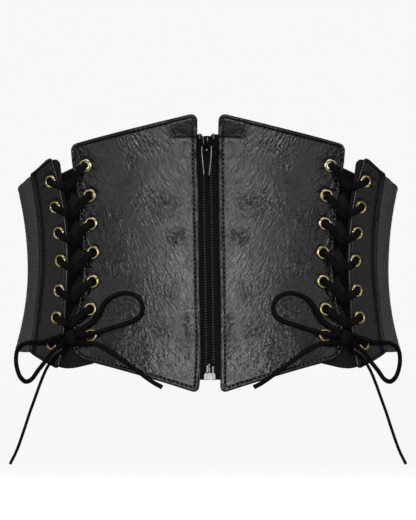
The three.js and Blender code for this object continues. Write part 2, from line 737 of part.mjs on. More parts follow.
function zipCoil(side) {
  const near = (height) => side * zipShift(height) + TAPE_SPLIT / 2;
  return wall({
    near,
    far: (height) => near(height) + COIL_WIDTH,
    top: () => COIL_TOP,
    bottom: () => COIL_BOTTOM,
    middle: 1,
    rows: zipRows(COIL_BOTTOM, COIL_TOP),
    inner: () => COIL_INSIDE,
    outer: () => COIL_OUTSIDE,
  });
}

function outlineShape(points) {
  return new THREE.Shape(points.map(([x, y]) => new THREE.Vector2(x, y)));
}

function plate(points, from, to) {
  const options = { depth: to - from, bevelEnabled: false };
  return new THREE.ExtrudeGeometry(outlineShape(points), options).translate(0, 0, from);
}

function block(x0, x1, y0, y1, z0, z1) {
  return new THREE.BoxGeometry(x1 - x0, y1 - y0, z1 - z0)
    .translate((x0 + x1) / 2, (y0 + y1) / 2, (z0 + z1) / 2);
}

// Places within the slider, measured from its middle and outwards from the lining face
const BACK_INSIDE = TAPE_OUTSIDE - TAPE_THICKNESS - LAYER_GAP;
const PLATE_INSIDE = COIL_OUTSIDE + CLEARANCE;
const PLATE_OUTSIDE = PLATE_INSIDE + SLIDER_PLATE;
const PIVOT_RISE = CROWN_BAR + CLEARANCE + PULL_THICKNESS / 2 - CROWN_LENGTH / 2;
const PIVOT_LIFT = PLATE_OUTSIDE + (CROWN_RISE - CROWN_BAR) / 2;
const sliderSpot = { along: zipShift(SLIDER_HEIGHT), height: SLIDER_HEIGHT };

function sliderOutline() {
  const half = SLIDER_LENGTH / 2;
  const wide = SLIDER_WIDTH / 2;
  const right = [
    [wide - SLIDER_HIP_CUT, -half],
    [wide, SLIDER_HIP],
    [wide, SLIDER_SHOULDER],
    [wide - SLIDER_SHOULDER_CUT, half],
  ];
  return [...right, ...right.toReversed().map(([x, y]) => [-x, y])];
}

// The arch the pull hangs from, seen from the side as [out of the plate, up it]
function sliderCrown() {
  const half = CROWN_LENGTH / 2;
  const upper = [
    [-JOIN_DEPTH, half],
    [CROWN_RISE - CROWN_BEVEL, half],
    [CROWN_RISE, half - CROWN_BEVEL],
  ];
  const arch = [
    [-JOIN_DEPTH, half - CROWN_BAR],
    [CROWN_RISE - CROWN_BAR, half - CROWN_BAR],
  ];
  const below = ([x, y]) => [x, -y];
  const profile = [...upper, ...upper.toReversed().map(below), ...arch.map(below), ...arch.toReversed()];
  return plate(profile, -CROWN_WIDTH / 2, CROWN_WIDTH / 2)
    .rotateY(-Math.PI / 2)
    .translate(0, 0, PLATE_OUTSIDE);
}

// A strip of metal beside one coil that joins the slider's front plate
function sliderWall(side) {
  const from = TAPE_SPLIT / 2 + COIL_WIDTH + LAYER_GAP;
  const to = from + SLIDER_PLATE;
  const strip = block(from, to, SLIDER_WALL_FOOT, SLIDER_SHOULDER, COIL_INSIDE, PLATE_INSIDE + JOIN_DEPTH);
  return side > 0 ? strip : mirrored(strip);
}

// Two plates joined by a wedge between the tapes, walls beside the coils, and the crown
function zipSlider() {
  const half = WEDGE_WIDTH / 2;
  const pieces = [
    plate(sliderOutline(), PLATE_INSIDE, PLATE_OUTSIDE),
    plate(sliderOutline(), BACK_INSIDE - SLIDER_PLATE, BACK_INSIDE),
    block(-half, half, WEDGE_FROM, WEDGE_TO, BACK_INSIDE - JOIN_DEPTH, PLATE_INSIDE + JOIN_DEPTH),
    sliderWall(1),
    sliderWall(-1),
    sliderCrown(),
  ];
  return seated(joined(pieces), sliderSpot, 0);
}

// Where the pull's cross bar turns inside the crown
function pullPivot() {
  const spot = new THREE.BufferGeometry().setAttribute(
    "position",
    new THREE.Float32BufferAttribute([0, PIVOT_RISE, PIVOT_LIFT], 3),
  );
  return new THREE.Vector3().fromBufferAttribute(seated(spot, sliderSpot, 0).attributes.position, 0);
}

// A tapered tab hanging straight down from its cross bar, with a long eye round the crown
function zipPull() {
  const bar = PULL_THICKNESS / 2;
  const wide = PULL_WIDTH / 2;
  const tip = PULL_TIP_WIDTH / 2;
  const eye = CROWN_WIDTH / 2 + LAYER_GAP;
  const right = [
    [tip - PULL_TIP_BEVEL, -PULL_LENGTH],
    [tip, PULL_TIP_BEVEL - PULL_LENGTH],
    [wide, -PULL_EYE_LENGTH],
    [wide, bar - PULL_BEVEL],
    [wide - PULL_BEVEL, bar],
  ];
  const shape = outlineShape([...right, ...right.toReversed().map(([x, y]) => [-x, y])]);
  const eyeEnd = -bar - PULL_EYE_LENGTH;
  shape.holes.push(outlineShape([[-eye, -bar], [eye, -bar], [eye, eyeEnd], [-eye, eyeEnd]]));
  const { x, y, z } = pullPivot();
  return new THREE.ExtrudeGeometry(shape, { depth: PULL_THICKNESS, bevelEnabled: false })
    .translate(0, 0, -bar)
    .rotateX(Math.PI / 2)
    .translate(x, y, z);
}

function zipTopStop(side) {
  const height = STOP_TOP - STOP_LENGTH / 2;
  const along = side * zipShift(height) + STOP_OFFSET;
  const stop = new THREE.BoxGeometry(STOP_WIDTH, STOP_LENGTH, STOP_DEPTH);
  return seated(stop, { along, height }, COIL_INSIDE + STOP_DEPTH / 2);
}

// The box at the foot of the zip, with the retainer pin standing on its right
function zipBox() {
  const half = BOX_WIDTH / 2;
  const right = half - RETAINER_INSET;
  const left = right - RETAINER_WIDTH;
  const top = BOX_LENGTH + RETAINER_LENGTH;
  const outline = [
    [-half, 0], [half, 0], [half, BOX_LENGTH], [right, BOX_LENGTH],
    [right, top], [left, top], [left, BOX_LENGTH], [-half, BOX_LENGTH],
  ];
  const spot = { along: zipShift(TAPE_BOTTOM), height: TAPE_BOTTOM };
  return seated(plate(outline, COIL_INSIDE, COIL_INSIDE + BOX_DEPTH), spot, 0);
}

function zipPin() {
  const height = TAPE_BOTTOM + BOX_LENGTH + CLEARANCE;
  const left = PIN_RIGHT - PIN_WIDTH;
  const pin = block(left, PIN_RIGHT, 0, PIN_LENGTH, COIL_INSIDE, COIL_INSIDE + STOP_DEPTH);
  return seated(pin, { along: zipShift(height), height }, 0);
}

const parts = new THREE.Group();

function addPiece(name, material, geometry) {
  const mesh = new THREE.Mesh(geometry, materials[material]);
  mesh.name = name;
  parts.add(mesh);
}

// Adds a piece on the right and its mirror image on the left
function addPair(name, material, geometry) {
  addPiece(`${name}_right`, material, geometry);
  addPiece(`${name}_left`, material, mirrored(geometry));
}

addPair("front_panel", "leather", frontPanel());
addPair("side_panel", "leather", sidePanel());
addPiece("back_elastic", "elastic", backElastic());
addPair("modesty_panel", "elastic", modestyPanel());

for (const panel of ["front", "side"]) {
  EYELET_ROWS.forEach((_, row) => {
    const geometry = eyeletGeometry(eyeletSpot(panel, row));
    addPiece(`eyelet_${panel}_right_${row + 1}`, "brass", geometry);
    addPiece(`eyelet_${panel}_left_${row + 1}`, "brass", mirrored(geometry));
  });
}

addPair("lace", "lace", lace());
addPair("bow_knot", "lace", bowKnot());
for (const [name, shape] of Object.entries(CORDS)) addPair(name, "lace", cord(shape));

addPiece("zip_tape_right", "tape", zipTape(1));
addPiece("zip_tape_left", "tape", mirrored(zipTape(-1)));
addPiece("zip_coil_right", "tape", zipCoil(1));
addPiece("zip_coil_left", "tape", mirrored(zipCoil(-1)));
addPiece("zip_top_stop_right", "steel", zipTopStop(1));
addPiece("zip_top_stop_left", "steel", mirrored(zipTopStop(-1)));
addPiece("zip_slider", "blackMetal", zipSlider());
addPiece("zip_pull", "blackMetal", zipPull());
addPiece("zip_box", "steel", zipBox());
addPiece("zip_pin", "steel", zipPin());

export default parts;
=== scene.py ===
# Looks of the corset belt, in metres, in the frame of its solids: +Z up, the front faces -Y. "Along"
# is measured round the belt from the middle of the front, "height" is Z, and "lift" is measured
# outwards from the lining face of the belt, as in the part's source.
import math

import bpy
import numpy as np
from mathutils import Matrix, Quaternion, Vector


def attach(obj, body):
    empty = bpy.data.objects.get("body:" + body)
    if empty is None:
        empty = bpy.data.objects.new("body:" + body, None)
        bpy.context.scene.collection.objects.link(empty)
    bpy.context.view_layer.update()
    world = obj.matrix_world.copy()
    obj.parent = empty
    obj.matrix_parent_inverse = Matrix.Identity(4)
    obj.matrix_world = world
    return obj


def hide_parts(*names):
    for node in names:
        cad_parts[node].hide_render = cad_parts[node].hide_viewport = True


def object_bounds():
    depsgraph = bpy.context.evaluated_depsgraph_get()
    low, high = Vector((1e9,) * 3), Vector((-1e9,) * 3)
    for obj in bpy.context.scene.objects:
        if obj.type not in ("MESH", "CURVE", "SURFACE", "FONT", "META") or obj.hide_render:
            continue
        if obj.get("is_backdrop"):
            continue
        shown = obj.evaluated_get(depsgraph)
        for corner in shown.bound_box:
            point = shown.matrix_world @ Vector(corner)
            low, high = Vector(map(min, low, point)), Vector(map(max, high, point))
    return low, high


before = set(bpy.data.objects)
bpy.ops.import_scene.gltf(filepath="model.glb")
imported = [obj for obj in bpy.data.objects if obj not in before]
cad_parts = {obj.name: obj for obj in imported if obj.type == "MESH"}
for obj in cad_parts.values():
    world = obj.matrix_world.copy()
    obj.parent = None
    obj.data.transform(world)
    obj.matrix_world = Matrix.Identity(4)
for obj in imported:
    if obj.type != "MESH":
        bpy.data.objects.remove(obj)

cad_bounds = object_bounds()

# The worn shape, widest at the hip and the ribs
WAIST_HALF_WIDTH = 0.1426
WAIST_HALF_DEPTH = 0.094
WAIST_HEIGHT = -0.007
FLARE_REACH = 0.070
SIDE_FLARE_UP = 0.0088
SIDE_FLARE_DOWN = 0.0121
FRONT_FLARE_UP = 0.0025
FRONT_FLARE_DOWN = 0.0039
STRAIGHT_ABOVE = 0.113
STRAIGHT_BELOW = -0.101
FRONT_SQUARENESS = 2.6
BACK_SQUARENESS = 2.3
SLOPE_STEP = 0.0015

# Walls and the gap between layers
ELASTIC_THICKNESS = 0.0015
MODESTY_THICKNESS = 0.0012
TAPE_THICKNESS = 0.001
LEATHER_THICKNESS = 0.002
LAYER_GAP = 0.0005
LEATHER_INSIDE = ELASTIC_THICKNESS + LAYER_GAP
LEATHER_OUTSIDE = LEATHER_INSIDE + LEATHER_THICKNESS

# Front panels
ZIP_WINDOW = 0.0156
FRONT_PANEL_REACH = 0.0947
FRONT_TOP_INNER = 0.112
FRONT_TOP_OUTER = 0.0887
FRONT_BOTTOM_INNER = -0.0988
FRONT_BOTTOM_OUTER = -0.073
FRONT_BOTTOM_SWEEP = 1.2
FRONT_CORNERS = {"top_near": 0.0065, "top_far": 0.0045, "bottom_near": 0.0055, "bottom_far": 0.012}
FRONT_EDGE = [
    (-1, 1.09), (-0.85, 1.09), (-0.63, 1.082), (-0.47, 1.048), (-0.2, 1.006), (0, 1),
    (0.17, 1.014), (0.42, 1.04), (0.68, 1.058), (0.81, 1.085), (1, 1.1),
]

# Side panels
LACING_GAP = 0.0127
SIDE_PANEL_WIDTH = 0.031
SIDE_TOP_NEAR = 0.0805
SIDE_TOP_FAR = 0.0685
SIDE_BOTTOM_NEAR = -0.0825
SIDE_BOTTOM_FAR = -0.070
SIDE_CORNERS = {"top_near": 0.007, "top_far": 0.0015, "bottom_near": 0.0045, "bottom_far": 0.0015}
SIDE_EDGE = [
    (-1, 1.06), (-0.76, 1.032), (-0.35, 1.015), (0, 1), (0.45, 1.013), (0.84, 1.05), (1, 1.062),
]
SIDE_WIDTHS = [(-1, 1.08), (-0.35, 1.02), (0, 0.98), (1, 0.97)]

# Elastic back
ELASTIC_TUCK = 0.0085
ELASTIC_TOP = 0.0675
ELASTIC_BOTTOM = -0.0705
ELASTIC_TOP_LINE = [(0, 1), (0.05, 0.98), (0.1, 0.92), (0.25, 0.85), (0.6, 0.79), (1, 0.77)]
ELASTIC_BOTTOM_LINE = [(0, 0.985), (0.12, 1), (0.5, 0.95), (1, 0.91)]

# Modesty panels behind the lacing
MODESTY_LAP = 0.0102
MODESTY_TUCK = 0.021
MODESTY_SEAM = 0.004
MODESTY_RAMP = 0.0025
MODESTY_TOP_NEAR = 0.0705
MODESTY_TOP_FAR = 0.065
MODESTY_BOTTOM = -0.0803
MODESTY_BOTTOM_LINE = [(0, 0.952), (0.5, 1), (1, 0.93)]
MODESTY_SUNK = -0.0027

# Eyelets
EYELET_BORE = 0.0061
EYELET_FLANGE = 0.0106
EYELET_RISE = 0.0013
EYELET_HOLE = 0.0036
FRONT_EYELET_TOP = 0.0728
FRONT_EYELET_RUN = 0.1285
FRONT_EYELET_INSET = 0.0086
SIDE_EYELET_TOP = 0.0616
SIDE_EYELET_RUN = 0.1245
SIDE_EYELET_INSET = 0.0067
EYELET_ROWS = [
    (0, 1.28, 0, 1.45),
    (0.176, 1.23, 0.158, 1.33),
    (0.341, 1.14, 0.317, 1.13),
    (0.512, 1.02, 0.488, 1),
    (0.683, 1, 0.673, 1),
    (0.847, 1.3, 0.84, 1.13),
    (1, 1.75, 1, 1.48),
]

# Lacing and bows
LACE_DIAMETER = 0.0035
OUTER_TAIL_DIAMETER = 0.0024
KNOT_ALONG = 0.1005
KNOT_HEIGHT = -0.0585
KNOT_LENGTH = 0.015
KNOT_LIFT = 0.0095

# Zip
TAPE_UNDER_PANEL = 0.010
TAPE_TOP = 0.0955
TAPE_BOTTOM = -0.0882
ZIP_SHIFT_TOP = -0.0011
ZIP_SHIFT_BOTTOM = 0.0012
TAPE_SPLIT = 0.0005
TAPE_SPREAD = 0.0033
SPREAD_FROM = 0.087
COIL_WIDTH = 0.0026
COIL_DEPTH = 0.0013
SLIDER_HEIGHT = 0.0894

# The camera stands level in front, at the photograph's distance
CAMERA_PLACE = (0, -1.395, 0.0015)
CAMERA_LENS = 119.98

# The bow's loops and ends: route as (along, height, lift), width, and where the far end goes
CORDS = {
    "loop_in": {"diameter": LACE_DIAMETER, "far_end": "object", "lay": "hanging", "route": [
        (0.0962, -0.0531, 0.0106), (0.0925, -0.0506, 0.0096), (0.0884, -0.0476, 0.0080),
        (0.0846, -0.0439, 0.0066), (0.0798, -0.0360, 0.0062), (0.0759, -0.0298, 0.0062),
        (0.0690, -0.0254, 0.0062), (0.0626, -0.0237, 0.0062), (0.0555, -0.0246, 0.0062),
        (0.0502, -0.0288, 0.0062), (0.0482, -0.0350, 0.0062), (0.0502, -0.0410, 0.0062),
        (0.0560, -0.0449, 0.0062), (0.0642, -0.0477, 0.0062), (0.0756, -0.0514, 0.0064),
        (0.0840, -0.0542, 0.0096), (0.0880, -0.0555, 0.0111), (0.0928, -0.0570, 0.0118),
    ]},
    "tail_in": {"diameter": LACE_DIAMETER, "far_end": "bare", "lay": "hanging", "route": [
        (0.0930, -0.0624, 0.0092), (0.0885, -0.0619, 0.0084), (0.0840, -0.0623, 0.0072),
        (0.0795, -0.0639, 0.0062), (0.0735, -0.0672, 0.0062), (0.0680, -0.0706, 0.0062),
        (0.0620, -0.0748, 0.0062), (0.0565, -0.0788, 0.0062), (0.0508, -0.0830, 0.0062),
        (0.0452, -0.0872, 0.0062), (0.0395, -0.0910, 0.0062), (0.0339, -0.0940, 0.0062),
    ]},
    "loop_out": {"diameter": LACE_DIAMETER, "far_end": "object", "lay": "hanging", "route": [
        (0.1080, -0.0574, 0.0120), (0.1130, -0.0592, 0.0120), (0.1190, -0.0614, 0.0114),
        (0.1250, -0.0624, 0.0086), (0.1310, -0.0628, 0.0068), (0.1425, -0.0634, 0.0064),
        (0.1505, -0.0656, 0.0066), (0.1563, -0.0702, 0.0070), (0.1563, -0.0773, 0.0070),
        (0.1523, -0.0848, 0.0070), (0.1462, -0.0909, 0.0074), (0.1396, -0.0934, 0.0080),
        (0.1340, -0.0912, 0.0086), (0.1280, -0.0846, 0.0096), (0.1220, -0.0779, 0.0102),
        (0.1163, -0.0704, 0.0102), (0.1104, -0.0654, 0.0102), (0.1073, -0.0632, 0.0100),
    ]},
    "tail_out": {"diameter": OUTER_TAIL_DIAMETER, "far_end": "bare", "lay": "hanging", "route": [
        (0.1046, -0.0666, 0.0074), (0.1080, -0.0682, 0.0064), (0.1124, -0.0706, 0.0062),
        (0.1178, -0.0748, 0.0062), (0.1231, -0.0826, 0.0062), (0.1274, -0.0932, 0.0066),
        (0.1313, -0.1030, 0.0070), (0.1359, -0.1138, 0.0070), (0.1416, -0.1279, 0.0070),
        (0.1489, -0.1436, 0.0070), (0.1566, -0.1548, 0.0070),
    ]},
}

SIDES = {"right": 1, "left": -1}


# The belt's surface

def follow(table, place):
    """Value of a table of (place, value) rows, on a smooth curve through them."""
    places, values = np.array(table, float).T
    slopes = np.empty(len(places))
    slopes[1:-1] = (values[2:] - values[:-2]) / (places[2:] - places[:-2])
    slopes[0] = (values[1] - values[0]) / (places[1] - places[0])
    slopes[-1] = (values[-1] - values[-2]) / (places[-1] - places[-2])
    at = np.clip(place, places[0], places[-1])
    row = np.clip(np.searchsorted(places, at) - 1, 0, len(places) - 2)
    span = places[row + 1] - places[row]
    t = (at - places[row]) / span
    ease = t * t * (3 - 2 * t)
    lead = t * (1 - t) ** 2
    trail = t * t * (t - 1)
    bend = span * (slopes[row] * lead + slopes[row + 1] * trail)
    return values[row] + (values[row + 1] - values[row]) * ease + bend


def height_share(height, top, bottom):
    return np.where(height > 0, height / top, -height / bottom)


LOWEST = -0.17
ROW_STEP = 0.001
ROW_COUNT = 300
SECTION_STEPS = 240
SHARE_COUNT = 480


def section(height):
    """Half of the horizontal section: its points from the front middle to the back, and its length."""
    rise = (np.clip(height, STRAIGHT_BELOW, STRAIGHT_ABOVE) - WAIST_HEIGHT) / FLARE_REACH
    side_flare = SIDE_FLARE_UP if rise > 0 else SIDE_FLARE_DOWN
    front_flare = FRONT_FLARE_UP if rise > 0 else FRONT_FLARE_DOWN
    angle = np.linspace(0, math.pi, SECTION_STEPS + 1)
    power = 2 / np.where(angle <= math.pi / 2, FRONT_SQUARENESS, BACK_SQUARENESS)
    x = (WAIST_HALF_WIDTH + side_flare * rise ** 2) * np.abs(np.sin(angle)) ** power
    depth = WAIST_HALF_DEPTH + front_flare * rise ** 2
    y = -depth * np.sign(np.cos(angle)) * np.abs(np.cos(angle)) ** power
    length = np.concatenate([[0], np.cumsum(np.hypot(np.diff(x), np.diff(y)))])
    shares = np.linspace(0, length[-1], SHARE_COUNT + 1)
    return np.interp(shares, length, x), np.interp(shares, length, y), length[-1]


ROW_HEIGHTS = LOWEST + ROW_STEP * np.arange(ROW_COUNT)
SECTIONS = [section(height) for height in ROW_HEIGHTS]
SECTION_X = np.array([row[0] for row in SECTIONS])
SECTION_Y = np.array([row[1] for row in SECTIONS])
HALF_GIRTHS = np.array([row[2] for row in SECTIONS])


def half_girth(height):
    return np.interp(height, ROW_HEIGHTS, HALF_GIRTHS)


def lining_point(along, height):
    """Point of the lining face; negative along is the left side, past the half girth it comes round."""
    along, height = np.broadcast_arrays(np.asarray(along, float), np.asarray(height, float))
    reach = half_girth(height)
    wrapped = np.where(along > reach, along - 2 * reach, along)
    column = np.minimum(np.abs(wrapped) / reach, 1) * SHARE_COUNT
    row = (height - LOWEST) / ROW_STEP
    i = np.clip(np.floor(row).astype(int), 0, ROW_COUNT - 2)
    j = np.clip(np.floor(column).astype(int), 0, SHARE_COUNT - 1)
    up, over = row - i, column - j

    def at(table):
        low = table[i, j] * (1 - over) + table[i, j + 1] * over
        high = table[i + 1, j] * (1 - over) + table[i + 1, j + 1] * over
        return low * (1 - up) + high * up

    return np.stack([np.where(wrapped < 0, -1, 1) * at(SECTION_X), at(SECTION_Y), height], -1)


def outward(along, height):
    across = lining_point(along + SLOPE_STEP, height) - lining_point(along - SLOPE_STEP, height)
    upward = lining_point(along, height + SLOPE_STEP) - lining_point(along, height - SLOPE_STEP)
    normal = np.cross(across, upward)
    return normal / np.linalg.norm(normal, axis=-1, keepdims=True)


def belt_point(along, height, lift):
    along, height, lift = (np.asarray(value, float) for value in (along, height, lift))
    return lining_point(along, height) + outward(along, height) * lift[..., None]


def front_edge(height):
    share = height_share(height, FRONT_TOP_OUTER, FRONT_BOTTOM_OUTER)
    return FRONT_PANEL_REACH * follow(FRONT_EDGE, share)


def side_edge(height):
    share = height_share(height, SIDE_TOP_NEAR, SIDE_BOTTOM_NEAR)
    return (FRONT_PANEL_REACH + LACING_GAP) * follow(SIDE_EDGE, share)


def side_rear(height):
    share = height_share(height, SIDE_TOP_NEAR, SIDE_BOTTOM_NEAR)
    return side_edge(height) + SIDE_PANEL_WIDTH * follow(SIDE_WIDTHS, share)


def eyelet_spot(panel, row):
    """Place of an eyelet as (along, height)."""
    front_down, front_inset, side_down, side_inset = EYELET_ROWS[row]
    if panel == "front":
        height = FRONT_EYELET_TOP - front_down * FRONT_EYELET_RUN
        return float(front_edge(height)) - front_inset * FRONT_EYELET_INSET, height
    height = SIDE_EYELET_TOP - side_down * SIDE_EYELET_RUN
    return float(side_edge(height)) + side_inset * SIDE_EYELET_INSET, height


# Smooth noise for the relief that is modelled

LATTICE = np.random.default_rng(7).uniform(-1, 1, (256, 256))


def noise(x, y, shift=0):
    """Smooth noise from -1 to 1, one lump to a unit."""
    i, j = np.floor(x).astype(int), np.floor(y).astype(int)
    fx, fy = x - i, y - j
    fx, fy = fx * fx * (3 - 2 * fx), fy * fy * (3 - 2 * fy)

    def corner(a, b):
        return LATTICE[(i + a + 37 * shift) % 256, (j + b + 91 * shift) % 256]

    low = corner(0, 0) * (1 - fx) + corner(1, 0) * fx
    high = corner(0, 1) * (1 - fx) + corner(1, 1) * fx
    return low * (1 - fy) + high * fy


def ridge(value):
    """Turns smooth noise into narrow crests."""
    return 1 - 2 * np.abs(value)


def smooth_step(value, low, high):
    t = np.clip((value - low) / (high - low), 0, 1)
    return t * t * (3 - 2 * t)


def bell(value, middle, width):
    return np.exp(-((value - middle) / width) ** 2)


# Meshes

def make_object(name, points, faces, attributes=None, smooth=True):
    mesh = bpy.data.meshes.new(name)
    mesh.from_pydata(np.asarray(points).tolist(), [], [tuple(map(int, face)) for face in faces])
    for key, values in (attributes or {}).items():
        values = np.asarray(values, np.float32)
        kind = "FLOAT_VECTOR" if values.ndim == 2 else "FLOAT"
        layer = mesh.attributes.new(key, kind, "POINT")
        layer.data.foreach_set("vector" if values.ndim == 2 else "value", values.ravel())
    mesh.polygons.foreach_set("use_smooth", [smooth] * len(mesh.polygons))
    mesh.update()
    made = bpy.data.objects.new(name, mesh)
    bpy.context.scene.collection.objects.link(made)
    return made


def join_parts(parts):
    """One list of points and faces from several (points, faces) pairs."""
    points, faces, start = [], [], 0
    for part_points, part_faces in parts:
        points.append(np.asarray(part_points, float))
        faces.extend([index + start for index in face] for face in part_faces)
        start += len(part_points)
    return np.concatenate(points), faces


def mirrored(points, faces):
    return np.asarray(points) * (-1, 1, 1), [list(face)[::-1] for face in faces]


def on_side(sign, points, faces):
    return (points, faces) if sign > 0 else mirrored(points, faces)


def finish_piece(piece, material, nodes, body="belt"):
    piece.data.materials.append(material)
    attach(piece, body)
    if nodes:
        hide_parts(*nodes)
    return piece


HIDE_STEPS = (
    0, 0.00012, 0.00035, 0.0007, 0.0011, 0.0016, 0.0021, 0.0025, 0.0029, 0.0033, 0.0037, 0.0041, 0.0046,
    0.0052,
)
CLOTH_STEPS = (0, 0.00015, 0.0004, 0.0009)
EDGE_ZONE = 0.006


def graded(length, cell, steps):
    """Distances from 0 to length, fine at both ends and a cell apart between."""
    inner = np.linspace(steps[-1], length - steps[-1], int((length - 2 * steps[-1]) / cell) + 1)
    return np.concatenate([steps[:-1], inner, length - np.array(steps[-2::-1])])


def corner_drop(radius, distance):
    if not radius:
        return np.zeros_like(distance)
    inside = np.clip(radius - distance, 0, radius)
    return radius - np.sqrt(radius ** 2 - inside ** 2)


def wall_grid(shape, cell, steps=CLOTH_STEPS):
    """Along and height of a wall's grid points, and their distance from each edge of its outline."""
    near, far, corners = shape["near"], shape["far"], shape.get("corners", {})
    width = float(far(0.0) - near(0.0))
    plain = graded(width, cell, steps)
    share = plain / width
    rear = width - plain
    drop = {key: corner_drop(radius, plain if "near" in key else rear) for key, radius in corners.items()}
    top = shape["top"](share) - drop.get("top_near", 0) - drop.get("top_far", 0)
    bottom = shape["bottom"](share) + drop.get("bottom_near", 0) + drop.get("bottom_far", 0)
    tallest = float((top - bottom).max())
    rows = graded(tallest, cell, steps)
    rise = np.where(
        rows[:, None] < EDGE_ZONE,
        rows[:, None],
        np.where(
            tallest - rows[:, None] < EDGE_ZONE,
            (top - bottom) - (tallest - rows[:, None]),
            EDGE_ZONE + (rows[:, None] - EDGE_ZONE) * (top - bottom - 2 * EDGE_ZONE)
            / (tallest - 2 * EDGE_ZONE),
        ),
    )
    height = bottom + rise
    low, high = near(height), far(height)
    middle = low + EDGE_ZONE + (plain - EDGE_ZONE) * (high - low - 2 * EDGE_ZONE) / (width - 2 * EDGE_ZONE)
    along = np.where(plain < EDGE_ZONE, low + plain, np.where(rear < EDGE_ZONE, high - rear, middle))
    slope_top = np.cos(np.arctan(np.gradient(top, plain)))
    slope_bottom = np.cos(np.arctan(np.gradient(bottom, plain)))
    edges = {
        "near": along - low,
        "far": high - along,
        "top": (top - height) * slope_top,
        "bottom": (height - bottom) * slope_bottom,
    }
    return along, height, edges


def cut_holes(along, height, spots, radius):
    """Which cells of a grid the holes take, with the cells' corners round each hole drawn onto it."""
    cell_along = (along[1:, 1:] + along[:-1, :-1]) / 2
    cell_height = (height[1:, 1:] + height[:-1, :-1]) / 2
    gone = np.zeros(cell_along.shape, bool)
    for spot_along, spot_height in spots:
        taken = np.hypot(cell_along - spot_along, cell_height - spot_height) < radius
        gone |= taken
        touched = np.zeros(along.shape, int)
        for down in (0, 1):
            for right in (0, 1):
                touched[down:down + taken.shape[0], right:right + taken.shape[1]] += taken
        rim = (touched > 0) & (touched < 4)
        reach_along, reach_height = along[rim] - spot_along, height[rim] - spot_height
        scale = radius / np.hypot(reach_along, reach_height)
        along[rim] = spot_along + reach_along * scale
        height[rim] = spot_height + reach_height * scale
    return gone


def slab(along, height, outer, inner, gone=None, marks=None):
    """Closed skin between two faces over one grid, which meet at its border and round its holes.

    With marks, a value for each point of the outer face, it gives back every point's mark too.
    """
    rows, columns = along.shape
    count = rows * columns
    index = np.arange(count).reshape(rows, columns)
    border = np.zeros((rows, columns), bool)
    border[[0, -1], :] = border[:, [0, -1]] = True
    under = np.where(border, index, index + count)
    if gone is None:
        gone = np.zeros((rows - 1, columns - 1), bool)
    kept = ~gone

    def quads(grid, mask):
        return np.stack([grid[:-1, :-1], grid[:-1, 1:], grid[1:, 1:], grid[1:, :-1]], -1)[mask]

    faces = [quads(index, kept), quads(under, kept)[:, ::-1]]
    padded = np.pad(kept, 1, constant_values=True)
    for side, (down, right) in enumerate([(-1, 0), (0, 1), (1, 0), (0, -1)]):
        beside = padded[1 + down:rows + down, 1 + right:columns + right]
        walls = kept & ~beside
        a, b = quads(index, walls)[:, side], quads(index, walls)[:, (side + 1) % 4]
        c, d = quads(under, walls)[:, side], quads(under, walls)[:, (side + 1) % 4]
        faces.append(np.stack([b, a, c, d], -1))
    points = np.concatenate([
        belt_point(along, height, outer).reshape(-1, 3),
        belt_point(along, height, inner).reshape(-1, 3),
    ])
    faces = np.concatenate(faces)
    used, renumbered = np.unique(faces, return_inverse=True)
    skin = points[used], renumbered.reshape(-1, 4)
    if marks is None:
        return skin
    marks = np.concatenate([marks.ravel(), np.zeros(count)])
    return (*skin, marks[used])


# Leather

FOLDED_EDGE = 0.0011
CUT_EDGE = 0.0004
STITCH_PITCH = 0.0034
STITCH_LENGTH = 0.0024
STITCH_WIDTH = 0.0010
GROOVE_DEPTH = 0.00026
GROOVE_WIDTH = 0.00045
STREAK_LEAN = math.radians(25)


def rolled(distance, radius):
    """Share of the full half thickness at a distance from a rounded edge."""
    inside = np.clip(1 - distance / radius, 0, 1)
    return np.sqrt(1 - inside ** 2)


def streaks(along, height, across, length, shift):
    """Noise drawn out into streaks that lean with the hide."""
    over = along * math.cos(STREAK_LEAN) - height * math.sin(STREAK_LEAN)
    up = along * math.sin(STREAK_LEAN) + height * math.cos(STREAK_LEAN)
    bend = 0.4 * noise(over / 0.012, up / 0.016, shift + 5)
    return noise(over / across + bend, up / length, shift)


def hide_relief(along, height):
    """Creases of the hide itself: fine streaks in patches, over slow swells."""
    patches = 0.25 + 0.75 * smooth_step(noise(along / 0.020, height / 0.030, 3), -0.30, 0.40)
    fine = ridge(streaks(along, height, 0.0026, 0.0058, 1)) - 0.4
    coarse = ridge(streaks(along, height, 0.0055, 0.012, 2)) - 0.4
    swell = noise(along / 0.022, height / 0.038, 4)
    return 0.00004 * patches * fine + 0.00007 * patches * coarse + 0.00036 * swell


def stitch_measure(edges, insets):
    """One on the line of stitches, less outside it and more inside."""
    return np.minimum.reduce([edges[key] / inset for key, inset in insets.items()])


def stitch_relief(edges, insets):
    """The furrow a row of stitches pulls down, and the fuller strip between it and the edge."""
    inset = float(np.mean(list(insets.values())))
    offset = (stitch_measure(edges, insets) - 1) * inset
    strip = bell(offset, -inset / 2, inset / 2.4) * smooth_step(-offset, 0, 0.0008)
    return 0.00032 * strip - GROOVE_DEPTH * bell(offset, 0, GROOVE_WIDTH)


def eyelet_relief(along, height, spots):
    """The leather is pressed down under each ring and puckers round it."""
    lift = np.zeros_like(along)
    for spot_along, spot_height in spots:
        distance = np.hypot(along - spot_along, height - spot_height)
        angle = np.arctan2(height - spot_height, along - spot_along)
        pucker = np.sin(7 * angle + 60 * spot_height) * bell(distance, 0.0075, 0.002)
        lift -= 0.00028 * bell(distance, 0.0048, 0.0016)
        lift += 0.00012 * pucker
    return lift


